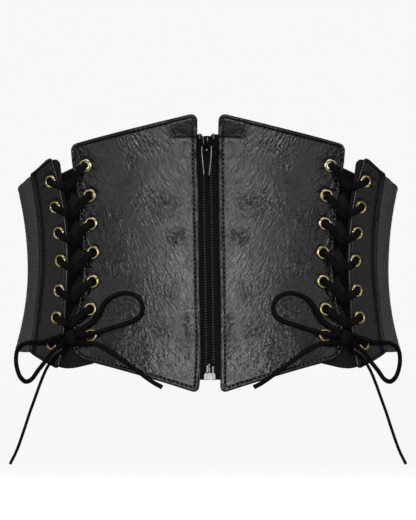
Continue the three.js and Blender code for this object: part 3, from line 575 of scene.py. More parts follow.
def contour(along, height, value):
    """Closed line, evenly walked, on which a value worked out over the grid is one."""
    spots = []
    for first, second in (((slice(None), slice(None, -1)), (slice(None), slice(1, None))),
                          ((slice(None, -1), slice(None)), (slice(1, None), slice(None)))):
        low, high = value[first] - 1, value[second] - 1
        crossing = (low < 0) != (high < 0)
        share = low[crossing] / (low[crossing] - high[crossing])
        spots.append(np.stack([
            along[first][crossing] * (1 - share) + along[second][crossing] * share,
            height[first][crossing] * (1 - share) + height[second][crossing] * share,
        ], -1))
    spots = np.concatenate(spots)
    middle = spots.mean(0)
    order = np.argsort(np.arctan2(spots[:, 1] - middle[1], spots[:, 0] - middle[0]))
    line = spots[order]
    for _ in range(3):
        line = (np.roll(line, 1, 0) + 2 * line + np.roll(line, -1, 0)) / 4
    return walk(np.concatenate([line, line[:1]]), STITCH_PITCH)


def walk(line, pitch):
    """Points one pitch apart along a line of points."""
    length = np.concatenate([[0], np.cumsum(np.linalg.norm(np.diff(line, axis=0), axis=1))])
    count = max(int(round(length[-1] / pitch)), 2)
    places = np.linspace(0, length[-1], count + 1)
    return np.stack([np.interp(places, length, column) for column in line.T], -1)


# Cross section and rings of one stitch: share of its length, share of its width
STITCH_RINGS = [(-0.5, 0.15), (-0.38, 0.7), (-0.15, 1), (0.15, 1), (0.38, 0.7), (0.5, 0.15)]
STITCH_SIDES = 6


def stitches(line, lift, size=1.0):
    """Small rounded threads laid end to end on the leather, each sunk at its two ends."""
    heading = np.diff(line, axis=0)
    heading /= np.linalg.norm(heading, axis=1, keepdims=True)
    spots = (line[1:] + line[:-1]) / 2
    angle = 2 * math.pi * np.arange(STITCH_SIDES) / STITCH_SIDES
    points, faces = [], []
    rings = len(STITCH_RINGS)
    for (along, height), (run, rise) in zip(spots, heading):
        start = len(points)
        for share, thickness in STITCH_RINGS:
            dip = 0.0005 * (2 * share) ** 2
            reach = share * STITCH_LENGTH * size
            side = thickness * STITCH_WIDTH * size / 2 * np.cos(angle)
            rim = thickness * STITCH_WIDTH * size / 2 * np.sin(angle)
            points.extend(zip(
                along + run * reach - rise * side,
                height + rise * reach + run * side,
                lift - dip + rim,
            ))
        for ring in range(rings - 1):
            for side in range(STITCH_SIDES):
                a = start + ring * STITCH_SIDES + side
                b = start + ring * STITCH_SIDES + (side + 1) % STITCH_SIDES
                faces.append([a, b, b + STITCH_SIDES, a + STITCH_SIDES])
        faces.append([start + side for side in reversed(range(STITCH_SIDES))])
        faces.append([start + (rings - 1) * STITCH_SIDES + side for side in range(STITCH_SIDES)])
    places = np.array(points)
    return belt_point(places[:, 0], places[:, 1], places[:, 2]), faces


def lerp(low, high, share):
    return low + (high - low) * share


# The closure leans a little: how far each front panel's zip edge stands off the even window
ZIP_EDGE_LEAN = {
    "right": [
        (-0.099, 0.0013), (-0.066, 0.0013), (-0.021, 0.0009), (0.024, 0.0002), (0.084, -0.0004), (0.112, 0),
    ],
    "left": [
        (-0.099, -0.0009), (-0.085, -0.0021), (-0.066, -0.0028), (-0.043, -0.0026), (-0.021, -0.0019),
        (0.046, -0.0009), (0.084, 0), (0.112, 0),
    ],
}


def front_shape(side):
    def bottom(share):
        drop = FRONT_BOTTOM_OUTER - FRONT_BOTTOM_INNER
        return FRONT_BOTTOM_OUTER - drop * (1 - share) ** FRONT_BOTTOM_SWEEP

    return {
        "near": lambda height: ZIP_WINDOW / 2 + follow(ZIP_EDGE_LEAN[side], height),
        "far": front_edge,
        "top": lambda share: lerp(FRONT_TOP_INNER, FRONT_TOP_OUTER, share),
        "bottom": bottom,
        "corners": FRONT_CORNERS,
        "inside": LEATHER_INSIDE,
        "roll": FOLDED_EDGE,
    }


# How far the side panel's leather stops short of its facing's edge, down the panel
HEM_LINE = [
    (-0.080, 0.0002), (0.010, 0.0002), (0.021, 0.0004), (0.032, 0.0009), (0.041, 0.0012), (0.055, 0.0021),
    (0.062, 0.0027), (0.076, 0.0054), (0.081, 0.0064),
]
FACING_OUTSIDE = LEATHER_INSIDE + 0.0006
FACING_REACH = 0.009


def side_shape():
    return {
        "near": lambda height: side_edge(height) + follow(HEM_LINE, height),
        "far": side_rear,
        "top": lambda share: lerp(SIDE_TOP_NEAR, SIDE_TOP_FAR, share),
        "bottom": lambda share: lerp(SIDE_BOTTOM_NEAR, SIDE_BOTTOM_FAR, share),
        "corners": {**SIDE_CORNERS, "top_near": 0.0036},
        "inside": FACING_OUTSIDE,
        "roll": CUT_EDGE,
    }


CREASE_HEIGHT = 0.0930
CREASE_REACH = 0.0300

# Where the front panels' hide is finely creased, and how much painted highlight its crinkle crests get: middle along
# and up, reach along and up, strength
CREASED_PLACES = [
    (0.0500, 0.0880, 0.0140, 0.0080, 1.0),
    (0.0580, 0.0730, 0.0060, 0.0060, 0.6),
    (0.0190, 0.0850, 0.0070, 0.0080, 0.4),
    (0.0380, 0.0440, 0.0160, 0.0140, 1.0),
    (0.0240, 0.0190, 0.0100, 0.0080, 1.0),
    (0.0730, 0.0330, 0.0120, 0.0130, 0.7),
    (0.0560, 0.0180, 0.0060, 0.0080, 0.6),
    (0.0710, -0.0040, 0.0130, 0.0070, 0.8),
    (0.0285, -0.0225, 0.0070, 0.0100, 0.9),
    (0.0770, -0.0400, 0.0080, 0.0080, 0.5),
    (0.0355, -0.0516, 0.0120, 0.0120, 0.9),
    (0.0525, -0.0660, 0.0150, 0.0160, 1.0),
    (0.0155, -0.0530, 0.0050, 0.0210, 0.9),
    (0.0830, -0.0720, 0.0120, 0.0070, 0.5),
]
PUCKERED_STRIP = 0.0085


def creased_share(along, height, edges):
    """How strongly the front panel's hide is creased, and so how much painted highlight its crinkle crests get: 0
    where it is smooth.
    """
    share = 0.30 + 0.15 * noise(along / 0.016, height / 0.022, 12)
    for middle_along, middle_height, reach_along, reach_height, strength in CREASED_PLACES:
        distance = np.hypot((along - middle_along) / reach_along, (height - middle_height) / reach_height)
        share = np.maximum(share, strength * bell(distance, 0, 1.15))
    strip = smooth_step(PUCKERED_STRIP - edges["far"], 0, 0.002)
    return np.maximum(share, 1.25 * strip)


def side_share(along, height, edges):
    """The side panels are smooth but for a faint grain, whose crests get a faint painted highlight."""
    return np.full_like(along, 0.12)


def front_relief(along, height, edges):
    """Everything that lifts the front panel's face off a plain sheet."""
    spots = [eyelet_spot("front", row) for row in range(len(EYELET_ROWS))]
    lift = hide_relief(along, height)
    inward = 1 - smooth_step(along, CREASE_REACH - 0.004, CREASE_REACH + 0.004)
    above = smooth_step(height, CREASE_HEIGHT - 0.0003, CREASE_HEIGHT + 0.0005)
    lift += inward * above * (0.11 * (height - CREASE_HEIGHT) - 0.0007)
    scribble = ridge(noise(along / 0.0024, height / 0.0058, 8)) - 0.5
    lift += 0.00070 * scribble * smooth_step(0.0080 - edges["far"], 0, 0.003)
    wave = noise(along / 0.0022, height / 0.0085, 9)
    lift += 0.00045 * wave * smooth_step(0.0036 - edges["near"], 0, 0.001)
    return lift + eyelet_relief(along, height, spots)


def side_relief(along, height, edges):
    """The side panel is fuller before the seam at its back."""
    spots = [eyelet_spot("side", row) for row in range(len(EYELET_ROWS))]
    lift = 0.7 * hide_relief(along + 0.2, height)
    lift += 0.0004 * bell(edges["far"], 0.009, 0.0035) - 0.0005 * bell(edges["far"], 0.0045, 0.0012)
    return lift + eyelet_relief(along, height, spots)


SIDE_STITCH_SIZE = 0.55
FRONT_INSETS = {"near": 0.0037, "top": 0.0030, "bottom": 0.0031, "far": 0.0030}
SIDE_INSETS = {"near": 0.0026, "top": 0.0028, "bottom": 0.0028, "far": 0.0030}


def leather_panel(shape, relief, creased, insets, stitch_size, panel):
    """Points, faces and creased shares of one right-hand panel, and its row of stitches."""
    along, height, edges = wall_grid(shape, PANEL_CELL, HIDE_STEPS)
    spots = [eyelet_spot(panel, row) for row in range(len(EYELET_ROWS))]
    line = contour(along, height, stitch_measure(edges, insets))
    gone = cut_holes(along, height, spots, EYELET_HOLE)
    border = np.minimum.reduce(list(edges.values()))
    half = (LEATHER_OUTSIDE - shape["inside"]) / 2
    thickness = half * rolled(border, shape["roll"])
    fade = smooth_step(border, 0, 0.0009)
    lift = fade * (relief(along, height, edges) + stitch_relief(edges, insets))
    middle = LEATHER_OUTSIDE - half
    marks = creased(along, height, edges)
    points, faces, marks = slab(along, height, middle + thickness + lift, middle - thickness, gone, marks)
    thread = stitches(line, LEATHER_OUTSIDE - GROOVE_DEPTH + 0.00025 * stitch_size, stitch_size)
    return (points, faces), marks, thread


PANEL_CELL = 0.0008


def make_leather(leather, thread):
    for side, sign in SIDES.items():
        shapes = {
            "front": (front_shape(side), front_relief, creased_share, FRONT_INSETS, 1.0),
            "side": (side_shape(), side_relief, side_share, SIDE_INSETS, SIDE_STITCH_SIZE),
        }
        for panel, settings in shapes.items():
            skin, marks, row = leather_panel(*settings, panel)
            piece = make_object(f"{panel}_leather_{side}", *on_side(sign, *skin), {"creased": marks})
            finish_piece(piece, leather, [f"{panel}_panel_{side}"])
            piece = make_object(f"{panel}_stitches_{side}", *on_side(sign, *row))
            finish_piece(piece, thread, [])


def make_facing(cloth):
    """The dull facing under the side panel, which shows in front of its leather towards the top."""
    shape = {
        "near": side_edge,
        "far": lambda height: side_edge(height) + FACING_REACH,
        "top": lambda share: SIDE_TOP_NEAR - 0.0035 * share,
        "bottom": lambda share: SIDE_BOTTOM_NEAR + 0.0035 * share + 0.0006,
        "corners": {"top_near": SIDE_CORNERS["top_near"], "bottom_near": SIDE_CORNERS["bottom_near"]},
    }
    along, height, edges = wall_grid(shape, 0.0011)
    spots = [eyelet_spot("side", row) for row in range(len(EYELET_ROWS))]
    gone = cut_holes(along, height, spots, EYELET_HOLE)
    border = np.minimum.reduce(list(edges.values()))
    thickness = (FACING_OUTSIDE - LEATHER_INSIDE) / 2 * rolled(border, 0.0003)
    middle = (FACING_OUTSIDE + LEATHER_INSIDE) / 2 - 0.00005
    skin = slab(along, height, middle + thickness, middle - thickness, gone)
    for side, sign in SIDES.items():
        piece = make_object(f"side_facing_{side}", *on_side(sign, *skin))
        finish_piece(piece, cloth, [])


# Elastic, modesty panels and zip tapes

CLOTH_ROLL = 0.0006


def woven_wall(shape, cell, inner, outer, relief):
    """A closed strip of cloth between two lifts, given as functions of the place in it."""
    along, height, edges = wall_grid(shape, cell)
    border = np.minimum.reduce(list(edges.values()))
    low, high = inner(along, height, edges), outer(along, height, edges)
    thickness = (high - low) / 2 * rolled(border, CLOTH_ROLL)
    middle = (low + high) / 2
    lift = relief(along, height, edges) * smooth_step(border, 0, 0.0008)
    return slab(along, height, middle + thickness + lift, middle - thickness)


def even(value):
    return lambda along, height, edges: np.full_like(along, value)


RIB_PITCH = 0.0034
SIDE_ROW = 0.0055


def elastic_relief(along, height, edges):
    """Ribs along the elastic, drawn together a little under the rows that hold the side panels."""
    ribs = 0.00007 * np.cos(2 * math.pi * height / RIB_PITCH)
    slack = 0.00035 * noise(along / 0.045, height / 0.06, 11)
    bound = -0.0002 * (bell(edges["top"], 0.004, 0.0012) + bell(edges["bottom"], 0.004, 0.0012))
    return ribs + slack + bound


def make_elastic(elastic):
    def near(height):
        return side_rear(height) - ELASTIC_TUCK

    def across(share):
        return 1 - np.abs(2 * share - 1)

    shape = {
        "near": near,
        "far": lambda height: 2 * half_girth(height) - near(height),
        "top": lambda share: ELASTIC_TOP * follow(ELASTIC_TOP_LINE, across(share)),
        "bottom": lambda share: ELASTIC_BOTTOM * follow(ELASTIC_BOTTOM_LINE, across(share)),
    }
    skin = woven_wall(shape, ELASTIC_CELL, even(0), even(ELASTIC_THICKNESS), elastic_relief)
    finish_piece(make_object("elastic_band", *skin), elastic, ["back_elastic"])


ELASTIC_CELL = 0.0018


MODESTY_CELL = 0.0010


def make_modesty(ribbed):
    def outer(along, height, edges):
        share = np.clip((edges["far"] - MODESTY_SEAM) / MODESTY_RAMP, 0, 1)
        return lerp(ELASTIC_THICKNESS, MODESTY_SUNK + 0.0003, share)

    def inner(along, height, edges):
        return outer(along, height, edges) - MODESTY_THICKNESS

    def relief(along, height, edges):
        bones = 0.00045 * np.abs(np.cos(math.pi * (along - 0.002) / 0.0105)) ** 3
        return bones + 0.00008 * np.cos(2 * math.pi * along / 0.0021) + 0.0002 * noise(along / 0.02, height / 0.02, 12)

    shape = {
        "near": lambda height: front_edge(height) - MODESTY_LAP - 0.0050 * smooth_step(-height, 0.060, 0.076),
        "far": lambda height: side_edge(height) + MODESTY_TUCK,
        "top": lambda share: lerp(MODESTY_TOP_NEAR, MODESTY_TOP_FAR, share),
        "bottom": lambda share: MODESTY_BOTTOM * follow(MODESTY_BOTTOM_LINE, share),
    }
    skin = woven_wall(shape, MODESTY_CELL, inner, outer, relief)
    for side, sign in SIDES.items():
        piece = make_object(f"modesty_cloth_{side}", *on_side(sign, *skin))
        finish_piece(piece, ribbed, [f"modesty_panel_{side}"])


def zip_shift(height):
    share = (height - TAPE_BOTTOM) / (TAPE_TOP - TAPE_BOTTOM)
    return lerp(ZIP_SHIFT_BOTTOM, ZIP_SHIFT_TOP, share)


def zip_split(height):
    return TAPE_SPLIT / 2 + TAPE_SPREAD * np.clip((height - SPREAD_FROM) / (TAPE_TOP - SPREAD_FROM), 0, 1)


TAPE_OUTSIDE = ELASTIC_THICKNESS
TAPE_CELL = 0.0012


def make_tapes(tape):
    def relief(along, height, edges):
        cord_line = 0.00018 * bell(edges["near"], 0.0012, 0.0006)
        return cord_line + 0.00006 * noise(along / 0.004, height / 0.012, 13)

    for side, sign in SIDES.items():
        shape = {
            "near": lambda height, sign=sign: sign * zip_shift(height) + zip_split(height),
            "far": lambda height: np.full_like(height, ZIP_WINDOW / 2 + TAPE_UNDER_PANEL),
            "top": lambda share: np.full_like(share, TAPE_TOP),
            "bottom": lambda share: np.full_like(share, TAPE_BOTTOM),
        }
        skin = woven_wall(shape, TAPE_CELL, even(TAPE_OUTSIDE - TAPE_THICKNESS), even(TAPE_OUTSIDE), relief)
        piece = make_object(f"tape_{side}", *on_side(sign, *skin))
        finish_piece(piece, tape, [f"zip_tape_{side}"])


# Tubes: laces, cords and the coils' turns

def route_curve(points, step):
    """Even steps on the centripetal curve through points, and where each step lies among the points."""
    points = np.asarray(points, float)
    ends = np.concatenate([[2 * points[0] - points[1]], points, [2 * points[-1] - points[-2]]])
    knots = np.concatenate([[0], np.cumsum(np.linalg.norm(np.diff(ends, axis=0), axis=1) ** 0.5)])

    def blend(at, low, high, first, second):
        return ((high - at) * first + (at - low) * second) / (high - low)

    fine, places = [], []
    for i in range(len(points) - 1):
        p, k = ends[i:i + 4], knots[i:i + 4]
        share = np.linspace(0, 1, 24, endpoint=False)
        at = (k[1] + (k[2] - k[1]) * share)[:, None]
        a = [blend(at, k[j], k[j + 1], p[j], p[j + 1]) for j in range(3)]
        b = [blend(at, k[j], k[j + 2], a[j], a[j + 1]) for j in range(2)]
        fine.append(blend(at, k[1], k[2], b[0], b[1]))
        places.append(i + share)
    fine = np.concatenate(fine + [points[-1:]])
    places = np.concatenate(places + [[len(points) - 1]])
    length = np.concatenate([[0], np.cumsum(np.linalg.norm(np.diff(fine, axis=0), axis=1))])
    count = max(int(round(length[-1] / step)), 4)
    at = np.linspace(0, length[-1], count + 1)
    path = np.stack([np.interp(at, length, column) for column in fine.T], -1)
    return path, np.interp(at, length, places), length[-1]


def unit(vectors):
    return vectors / np.linalg.norm(vectors, axis=-1, keepdims=True)


def tube(path, wide, width, depth, sides=14, fullness=1.0, round_ends=False):
    """A closed tube whose rings stand square to its path, with their width along wide."""
    path, wide = np.asarray(path, float), np.asarray(wide, float)
    width = np.broadcast_to(width, len(path)).astype(float)
    depth = np.broadcast_to(depth, len(path)).astype(float)
    tangent = unit(np.gradient(path, axis=0))
    across = unit(wide - tangent * (wide * tangent).sum(-1, keepdims=True))
    through = np.cross(tangent, across)
    angle = 2 * math.pi * np.arange(sides) / sides
    x = np.sign(np.cos(angle)) * np.abs(np.cos(angle)) ** fullness
    y = np.sign(np.sin(angle)) * np.abs(np.sin(angle)) ** fullness

    def ring(i, scale, push):
        centre = path[i] + tangent[i] * push
        return (centre + np.outer(x, across[i]) * width[i] / 2 * scale
                + np.outer(y, through[i]) * depth[i] / 2 * scale)

    last = len(path) - 1
    swell = 0.35 if round_ends else 0.06
    rings = [ring(0, 0.8, -swell * depth[0])]
    rings += [ring(i, 1, 0) for i in range(last + 1)]
    rings += [ring(last, 0.8, swell * depth[last])]
    count = len(rings)
    points = np.concatenate(rings + [rings[0].mean(0)[None], rings[-1].mean(0)[None]])
    faces = []
    for i in range(count - 1):
        for j in range(sides):
            a, b = i * sides + j, i * sides + (j + 1) % sides
            faces.append([a, b, b + sides, a + sides])
    first_middle, last_middle = count * sides, count * sides + 1
    for j in range(sides):
        k = (j + 1) % sides
        faces.append([k, j, first_middle])
        faces.append([(count - 1) * sides + j, (count - 1) * sides + k, last_middle])
    run = np.concatenate([[0], np.cumsum(np.linalg.norm(np.diff(path, axis=0), axis=1))])
    run = np.concatenate([run[:1], run, run[-1:]])
    attributes = {
        "run": np.concatenate([np.repeat(run, sides), [run[0], run[-1]]]),
        "turn": np.concatenate([np.tile(np.arange(sides) / sides, count), [0, 0]]),
    }
    return points, faces, attributes


CORD_STEP = 0.0009


def cord_centre(shape):
    route = np.array(shape["route"])
    path, places, length = route_curve(belt_point(*route.T), CORD_STEP)
    rows = np.arange(len(route))
    along = np.interp(places, rows, route[:, 0])
    height = np.interp(places, rows, route[:, 1])
    wide = np.cross(outward(along, height), np.gradient(path, axis=0))
    return path, wide, length


def make_cords(braid):
    for name, shape in CORDS.items():
        path, wide, length = cord_centre(shape)
        diameter = shape["diameter"]
        wobble = 1 + 0.05 * np.sin(np.linspace(0, length / 0.011, len(path)))
        for side, sign in SIDES.items():
            flip = np.array([sign, 1, 1])
            width = diameter * wobble
            points, faces, attributes = tube(path * flip, wide * flip, width, 0.94 * diameter / wobble)
            piece = make_object(f"{name}_cord_{side}", points, faces, attributes)
            finish_piece(piece, braid, [f"{name}_{side}"])
            tuple(path[0] * flip)
            [tuple(point) for point in path * flip]


# The laces' route, as in the part's source

LACE_UNDER = -0.00025
LACE_OVER = 0.00625
TURN_TOP = 0.00725
TURN_BOTTOM = -0.00035
TURN_PINCH = 0.001
PAST_EDGE = 0.001
CROSSING_APART = LACE_DIAMETER / 2 + 0.00085
BAR_SHARES = (0.3, 0.5, 0.7)
LACE_WIDTH = 0.0058
LACE_PULL = 0.0011
FIRST_RISE = 0.0011
LACE_DEPTH = 0.0025
BORE_WIDTH = 0.0040


def heading(start, end):
    step = np.subtract(end, start)
    return step / np.hypot(*step)


def lace_stop(spot, direction, distance, lift, width=LACE_WIDTH):
    """One place on a lace: its point, the way its width lies there, and its width."""
    along, height = np.asarray(spot) + np.asarray(direction) * distance
    point = belt_point(along, height, lift)
    beside = belt_point(along - direction[1] * SLOPE_STEP, height + direction[0] * SLOPE_STEP, lift)
    return point, unit(beside - point), width


def turn_through(spot, start, end, rise=0.0):
    """Up through an eyelet, drawn against the side of its bore that faces the gap."""
    arrive, leave = heading(spot, start), heading(spot, end)
    spot = np.asarray(spot) + unit(arrive + leave) * LACE_PULL + (0, rise)
    radius = (TURN_TOP - TURN_BOTTOM) / 2
    middle = (TURN_TOP + TURN_BOTTOM) / 2
    reach = radius - TURN_PINCH
    side = math.sqrt(0.5) * radius
    return [
        lace_stop(spot, arrive, reach, TURN_BOTTOM),
        lace_stop(spot, arrive, reach - side, middle - side, BORE_WIDTH),
        lace_stop(spot, leave, reach - side, middle + side, BORE_WIDTH),
        lace_stop(spot, leave, reach, TURN_TOP),
    ]


def crossing_spot(row):
    a, b = eyelet_spot("front", row), eyelet_spot("side", row + 1)
    c, d = eyelet_spot("side", row), eyelet_spot("front", row + 1)
    slope_down = (b[1] - a[1]) / (b[0] - a[0])
    slope_up = (c[1] - d[1]) / (c[0] - d[0])
    along = (d[1] - a[1] + slope_down * a[0] - slope_up * d[0]) / (slope_down - slope_up)
    return along, a[1] + slope_down * (along - a[0])


def across_gap(row, start, end, starts_at_front):
    crossing = crossing_spot(row)
    middle = (LACE_OVER + LACE_UNDER) / 2
    direction = heading(start, end)
    past_front = float(front_edge(crossing[1])) + PAST_EDGE
    past_side = float(side_edge(crossing[1])) - PAST_EDGE
    edges = (past_front, past_side) if starts_at_front else (past_side, past_front)

    def at_edge(edge, lift):
        share = (edge - start[0]) / (end[0] - start[0])
        return lace_stop((edge, lerp(start[1], end[1], share)), direction, 0, lift)

    apart = CROSSING_APART if starts_at_front else -CROSSING_APART
    return [
        at_edge(edges[0], LACE_OVER),
        lace_stop(crossing, direction, 0, middle + apart),
        at_edge(edges[1], LACE_UNDER),
    ]


def lace_half(first_panel):
    other = {"front": "side", "side": "front"}
    last = len(EYELET_ROWS) - 1
    knot = (KNOT_ALONG, KNOT_HEIGHT)
    stops = []
    panel, before = first_panel, eyelet_spot(other[first_panel], 0)
    for row in range(last + 1):
        spot = eyelet_spot(panel, row)
        after = eyelet_spot(other[panel], row + 1) if row < last else knot
        stops += turn_through(spot, before, after, FIRST_RISE if (panel, row) == ("front", 0) else 0.0)
        if row < last:
            stops += across_gap(row, spot, after, panel == "front")
        before, panel = spot, other[panel]
    end = 1 if panel == "front" else -1
    side = (KNOT_ALONG + end * KNOT_LENGTH * 0.42, KNOT_HEIGHT)
    stops.append(lace_stop(side, heading(before, knot), 0, (TURN_TOP + KNOT_LIFT) / 2, BORE_WIDTH))
    return stops


def make_laces(braid):
    start, end = eyelet_spot("front", 0), eyelet_spot("side", 0)
    bar = [
        lace_stop((lerp(start[0], end[0], share), lerp(start[1], end[1], share)), heading(start, end), 0, TURN_BOTTOM)
        for share in BAR_SHARES
    ]
    stops = lace_half("front")[::-1] + bar + lace_half("side")
    points = np.array([stop[0] for stop in stops])
    wides = np.array([stop[1] for stop in stops])
    widths = np.array([stop[2] for stop in stops])
    for i in range(1, len(wides)):
        if wides[i] @ wides[i - 1] < 0:
            wides[i] *= -1
    path, places, _ = route_curve(points, 0.0008)
    rows = np.arange(len(points))
    wide = np.stack([np.interp(places, rows, column) for column in wides.T], -1)
    width = np.interp(places, rows, widths)
    depth = LACE_DEPTH * LACE_WIDTH / width * 0.96
    for side, sign in SIDES.items():
        flip = np.array([sign, 1, 1])
        skin = tube(path * flip, wide * flip, width, depth, sides=16, fullness=0.85)
        finish_piece(make_object(f"lace_cord_{side}", *skin), braid, [f"lace_{side}"])


# The knot, as places round its middle: (along, height, lift) shares of its half sizes

KNOT_HALF = np.array([0.0082, 0.0070, 0.0046])


def knot_strand(shares, width, depth):
    spots = np.array([KNOT_ALONG, KNOT_HEIGHT, KNOT_LIFT]) + np.array(shares) * KNOT_HALF
    path, places, _ = route_curve(belt_point(*spots.T), 0.0006)
    rows = np.arange(len(spots))
    along, height = (np.interp(places, rows, spots[:, column]) for column in (0, 1))
    centre = belt_point(KNOT_ALONG, KNOT_HEIGHT, KNOT_LIFT)
    away = unit(path - centre)
    wide = np.cross(away, np.gradient(path, axis=0))
    return tube(path, wide, width, depth, sides=14, round_ends=True)


def knot_strands():
    turn = np.linspace(0, 2 * math.pi, 13)
    wrap = [(0.12 * math.sin(a) - 0.05, 0.74 * math.sin(a), 0.62 * math.cos(a)) for a in turn]
    yield knot_strand(wrap, 0.0060, 0.0030)
    second = [(0.30 + 0.10 * math.cos(a), 0.62 * math.sin(a + 0.4), 0.50 * math.cos(a + 0.4)) for a in turn]
    yield knot_strand(second, 0.0044, 0.0028)
    yield knot_strand([(-1, 0.45, 0.1), (-0.55, 0.3, 0.35), (0, 0.1, 0.3), (0.5, -0.1, 0.1), (1, -0.4, 0)], 0.0036, 0.0030)
    yield knot_strand([(-1, -0.35, 0), (-0.5, -0.3, -0.2), (0, 0, -0.3), (0.5, 0.25, 0.1), (1, 0.3, 0.35)], 0.0036, 0.0030)
    yield knot_strand([(-0.9, -0.75, -0.3), (-0.45, -0.4, -0.2), (0, -0.1, -0.1), (0.4, -0.5, -0.2), (0.8, -0.9, -0.5)], 0.0032, 0.0028)


def make_knots(braid):
    strands = list(knot_strands())
    for side, sign in SIDES.items():
        points, faces = on_side(sign, *join_parts([strand[:2] for strand in strands]))
        attributes = {
            key: np.concatenate([values[key] for _, _, values in strands]) for key in ("run", "turn")
        }
        piece = make_object(f"knot_{side}", points, faces, attributes)
        finish_piece(piece, braid, [f"bow_knot_{side}"])


# Metal

def placed(points, along, height, lift=0.0):
    """Turns points given as (along, up, outwards) from one spot of the belt into the shared frame."""
    points = np.asarray(points, float)
    centre = lining_point(along, height)
    out = outward(along, height)
    side = np.cross((0, 0, 1), out)
    side = unit(lining_point(along + SLOPE_STEP, height) - lining_point(along - SLOPE_STEP, height))
    side = unit(side - out * (side @ out))
    up = np.cross(out, side)
    return centre + points[:, :1] * side + points[:, 1:2] * up + (points[:, 2:] + lift) * out


# Eyelet's rolled section: radius, and lift from the lining face
EYELET_SECTION = [
    (0.00305, 0.00190), (0.00305, 0.00300), (0.00305, 0.00430), (0.00318, 0.00478), (0.00352, 0.00512),
    (0.00400, 0.00526), (0.00448, 0.00518), (0.00490, 0.00490), (0.00519, 0.00448), (0.00530, 0.00400),
    (0.00500, 0.00392), (0.00420, 0.00392), (0.00338, 0.00380), (0.00336, 0.00230), (0.00400, 0.00212),
    (0.00440, 0.00190), (0.00430, 0.00168), (0.00390, 0.00158), (0.00330, 0.00165),
]
EYELET_SIDES = 44


def eyelet_ring(row):
    """A rolled ring; each is set and worn a little differently."""
    angle = 2 * math.pi * np.arange(EYELET_SIDES) / EYELET_SIDES
    dents = 1 + 0.012 * np.sin(2 * angle + row) + 0.006 * np.sin(5 * angle + 3 * row)
    rings = []
    for radius, lift in EYELET_SECTION:
        reach = radius * (dents if radius > 0.0036 else np.ones_like(dents))
        rings.append(np.stack([reach * np.cos(angle), reach * np.sin(angle), np.full_like(angle, lift)], -1))
    count = len(rings)
    faces = []
    for i in range(count):
        for j in range(EYELET_SIDES):
            k, after = (j + 1) % EYELET_SIDES, (i + 1) % count
            faces.append([i * EYELET_SIDES + j, after * EYELET_SIDES + j, after * EYELET_SIDES + k,
                          i * EYELET_SIDES + k])
    return np.concatenate(rings), [face[::-1] for face in faces]


def make_eyelets(brass):
    for panel in ("front", "side"):
        for row in range(len(EYELET_ROWS)):
            points, faces = eyelet_ring(row)
            points = placed(points, *eyelet_spot(panel, row))
            for side, sign in SIDES.items():
                skin = on_side(sign, points, faces)
                piece = make_object(f"eyelet_ring_{panel}_{side}_{row + 1}", *skin)
                finish_piece(piece, brass, [f"eyelet_{panel}_{side}_{row + 1}"])


COIL_INSIDE = TAPE_OUTSIDE + 0.0003
COIL_OUTSIDE = COIL_INSIDE + COIL_DEPTH
COIL_TOP = SPREAD_FROM - 0.0003
BOX_LENGTH = 0.005
PIN_LENGTH = 0.0054
COIL_BOTTOM = TAPE_BOTTOM + BOX_LENGTH + PIN_LENGTH + 0.0009
TOOTH_PITCH = 0.00205
COIL_STITCH_LEAN = 0.00035


def coil_tooth(sign, height, shift):
    """One turn of the coil: a flat loop from the tape's edge, bulging at its head."""
    near = sign * zip_shift(height)
    stops = [(2.55, -0.34, 0.30), (2.0, -0.34, 0.62), (1.1, -0.20, 0.78), (0.25, 0.0, 0.66),
             (-0.05, 0.0, 0.36)]
    route = [(near + x / 1000, height + shift + y / 1000, COIL_INSIDE + z / 1000) for x, y, z in stops]
    path, _, _ = route_curve(belt_point(*np.array(route).T), 0.0005)
    wide = np.tile((0.0, 0.0, 1.0), (len(path), 1))
    width = np.linspace(0.00085, 0.00125, len(path))
    return tube(path, wide, width, 0.0009, sides=8, round_ends=True)[:2]


def coil_stitch(sign, height):
    """The thread that ties the coil's outer edge to the tape between two turns."""
    near = sign * (zip_shift(height) + COIL_STITCH_LEAN)
    stops = [(2.40, 0, 0.6), (2.58, 0, 1.12), (2.90, 0, 1.05), (3.10, 0, 0.1)]
    route = [(near + x / 1000, height + y / 1000, COIL_INSIDE + z / 1000) for x, y, z in stops]
    path, _, _ = route_curve(belt_point(*np.array(route).T), 0.0004)
    wide = np.tile((0.0, 0.0, 1.0), (len(path), 1))
    return tube(path, wide, 0.0008, 0.0010, sides=6, round_ends=True)[:2]


def make_coils(nylon, thread):
    for side, sign in SIDES.items():
        heights = np.arange(COIL_BOTTOM + 0.001, COIL_TOP - 0.001, TOOTH_PITCH)
        shift = TOOTH_PITCH / 2 if sign > 0 else 0
        teeth = join_parts([coil_tooth(sign, height, shift) for height in heights[:-1]])
        rows = join_parts([coil_stitch(sign, height + shift / 2) for height in heights[:-1]])
        piece = make_object(f"coil_turns_{side}", *on_side(sign, *teeth))
        finish_piece(piece, nylon, [f"zip_coil_{side}"])
        finish_piece(make_object(f"coil_stitches_{side}", *on_side(sign, *rows)), thread, [])


def prism(outline, low, high, holes=()):
    """Plate of an outline in (x, y), between two depths; a hole leaves a closed rim inside it."""
    outline = [tuple(point) for point in outline]
    count = len(outline)
    points = [(x, y, z) for z in (low, high) for x, y in outline]
    faces = [[i, (i + 1) % count, count + (i + 1) % count, count + i] for i in range(count)]
    if not holes:
        return points, faces + [list(range(count))[::-1], [count + i for i in range(count)]]
    inner = [tuple(point) for point in holes]
    start = len(points)
    points += [(x, y, z) for z in (low, high) for x, y in inner]
    inside = len(inner)
    assert inside == count
    faces += [[start + (i + 1) % inside, start + i, start + inside + i, start + inside + (i + 1) % inside]
              for i in range(inside)]
    for i in range(count):
        k = (i + 1) % count
        faces.append([k, i, start + i, start + k])
        faces.append([count + i, count + k, start + inside + k, start + inside + i])
    return points, faces


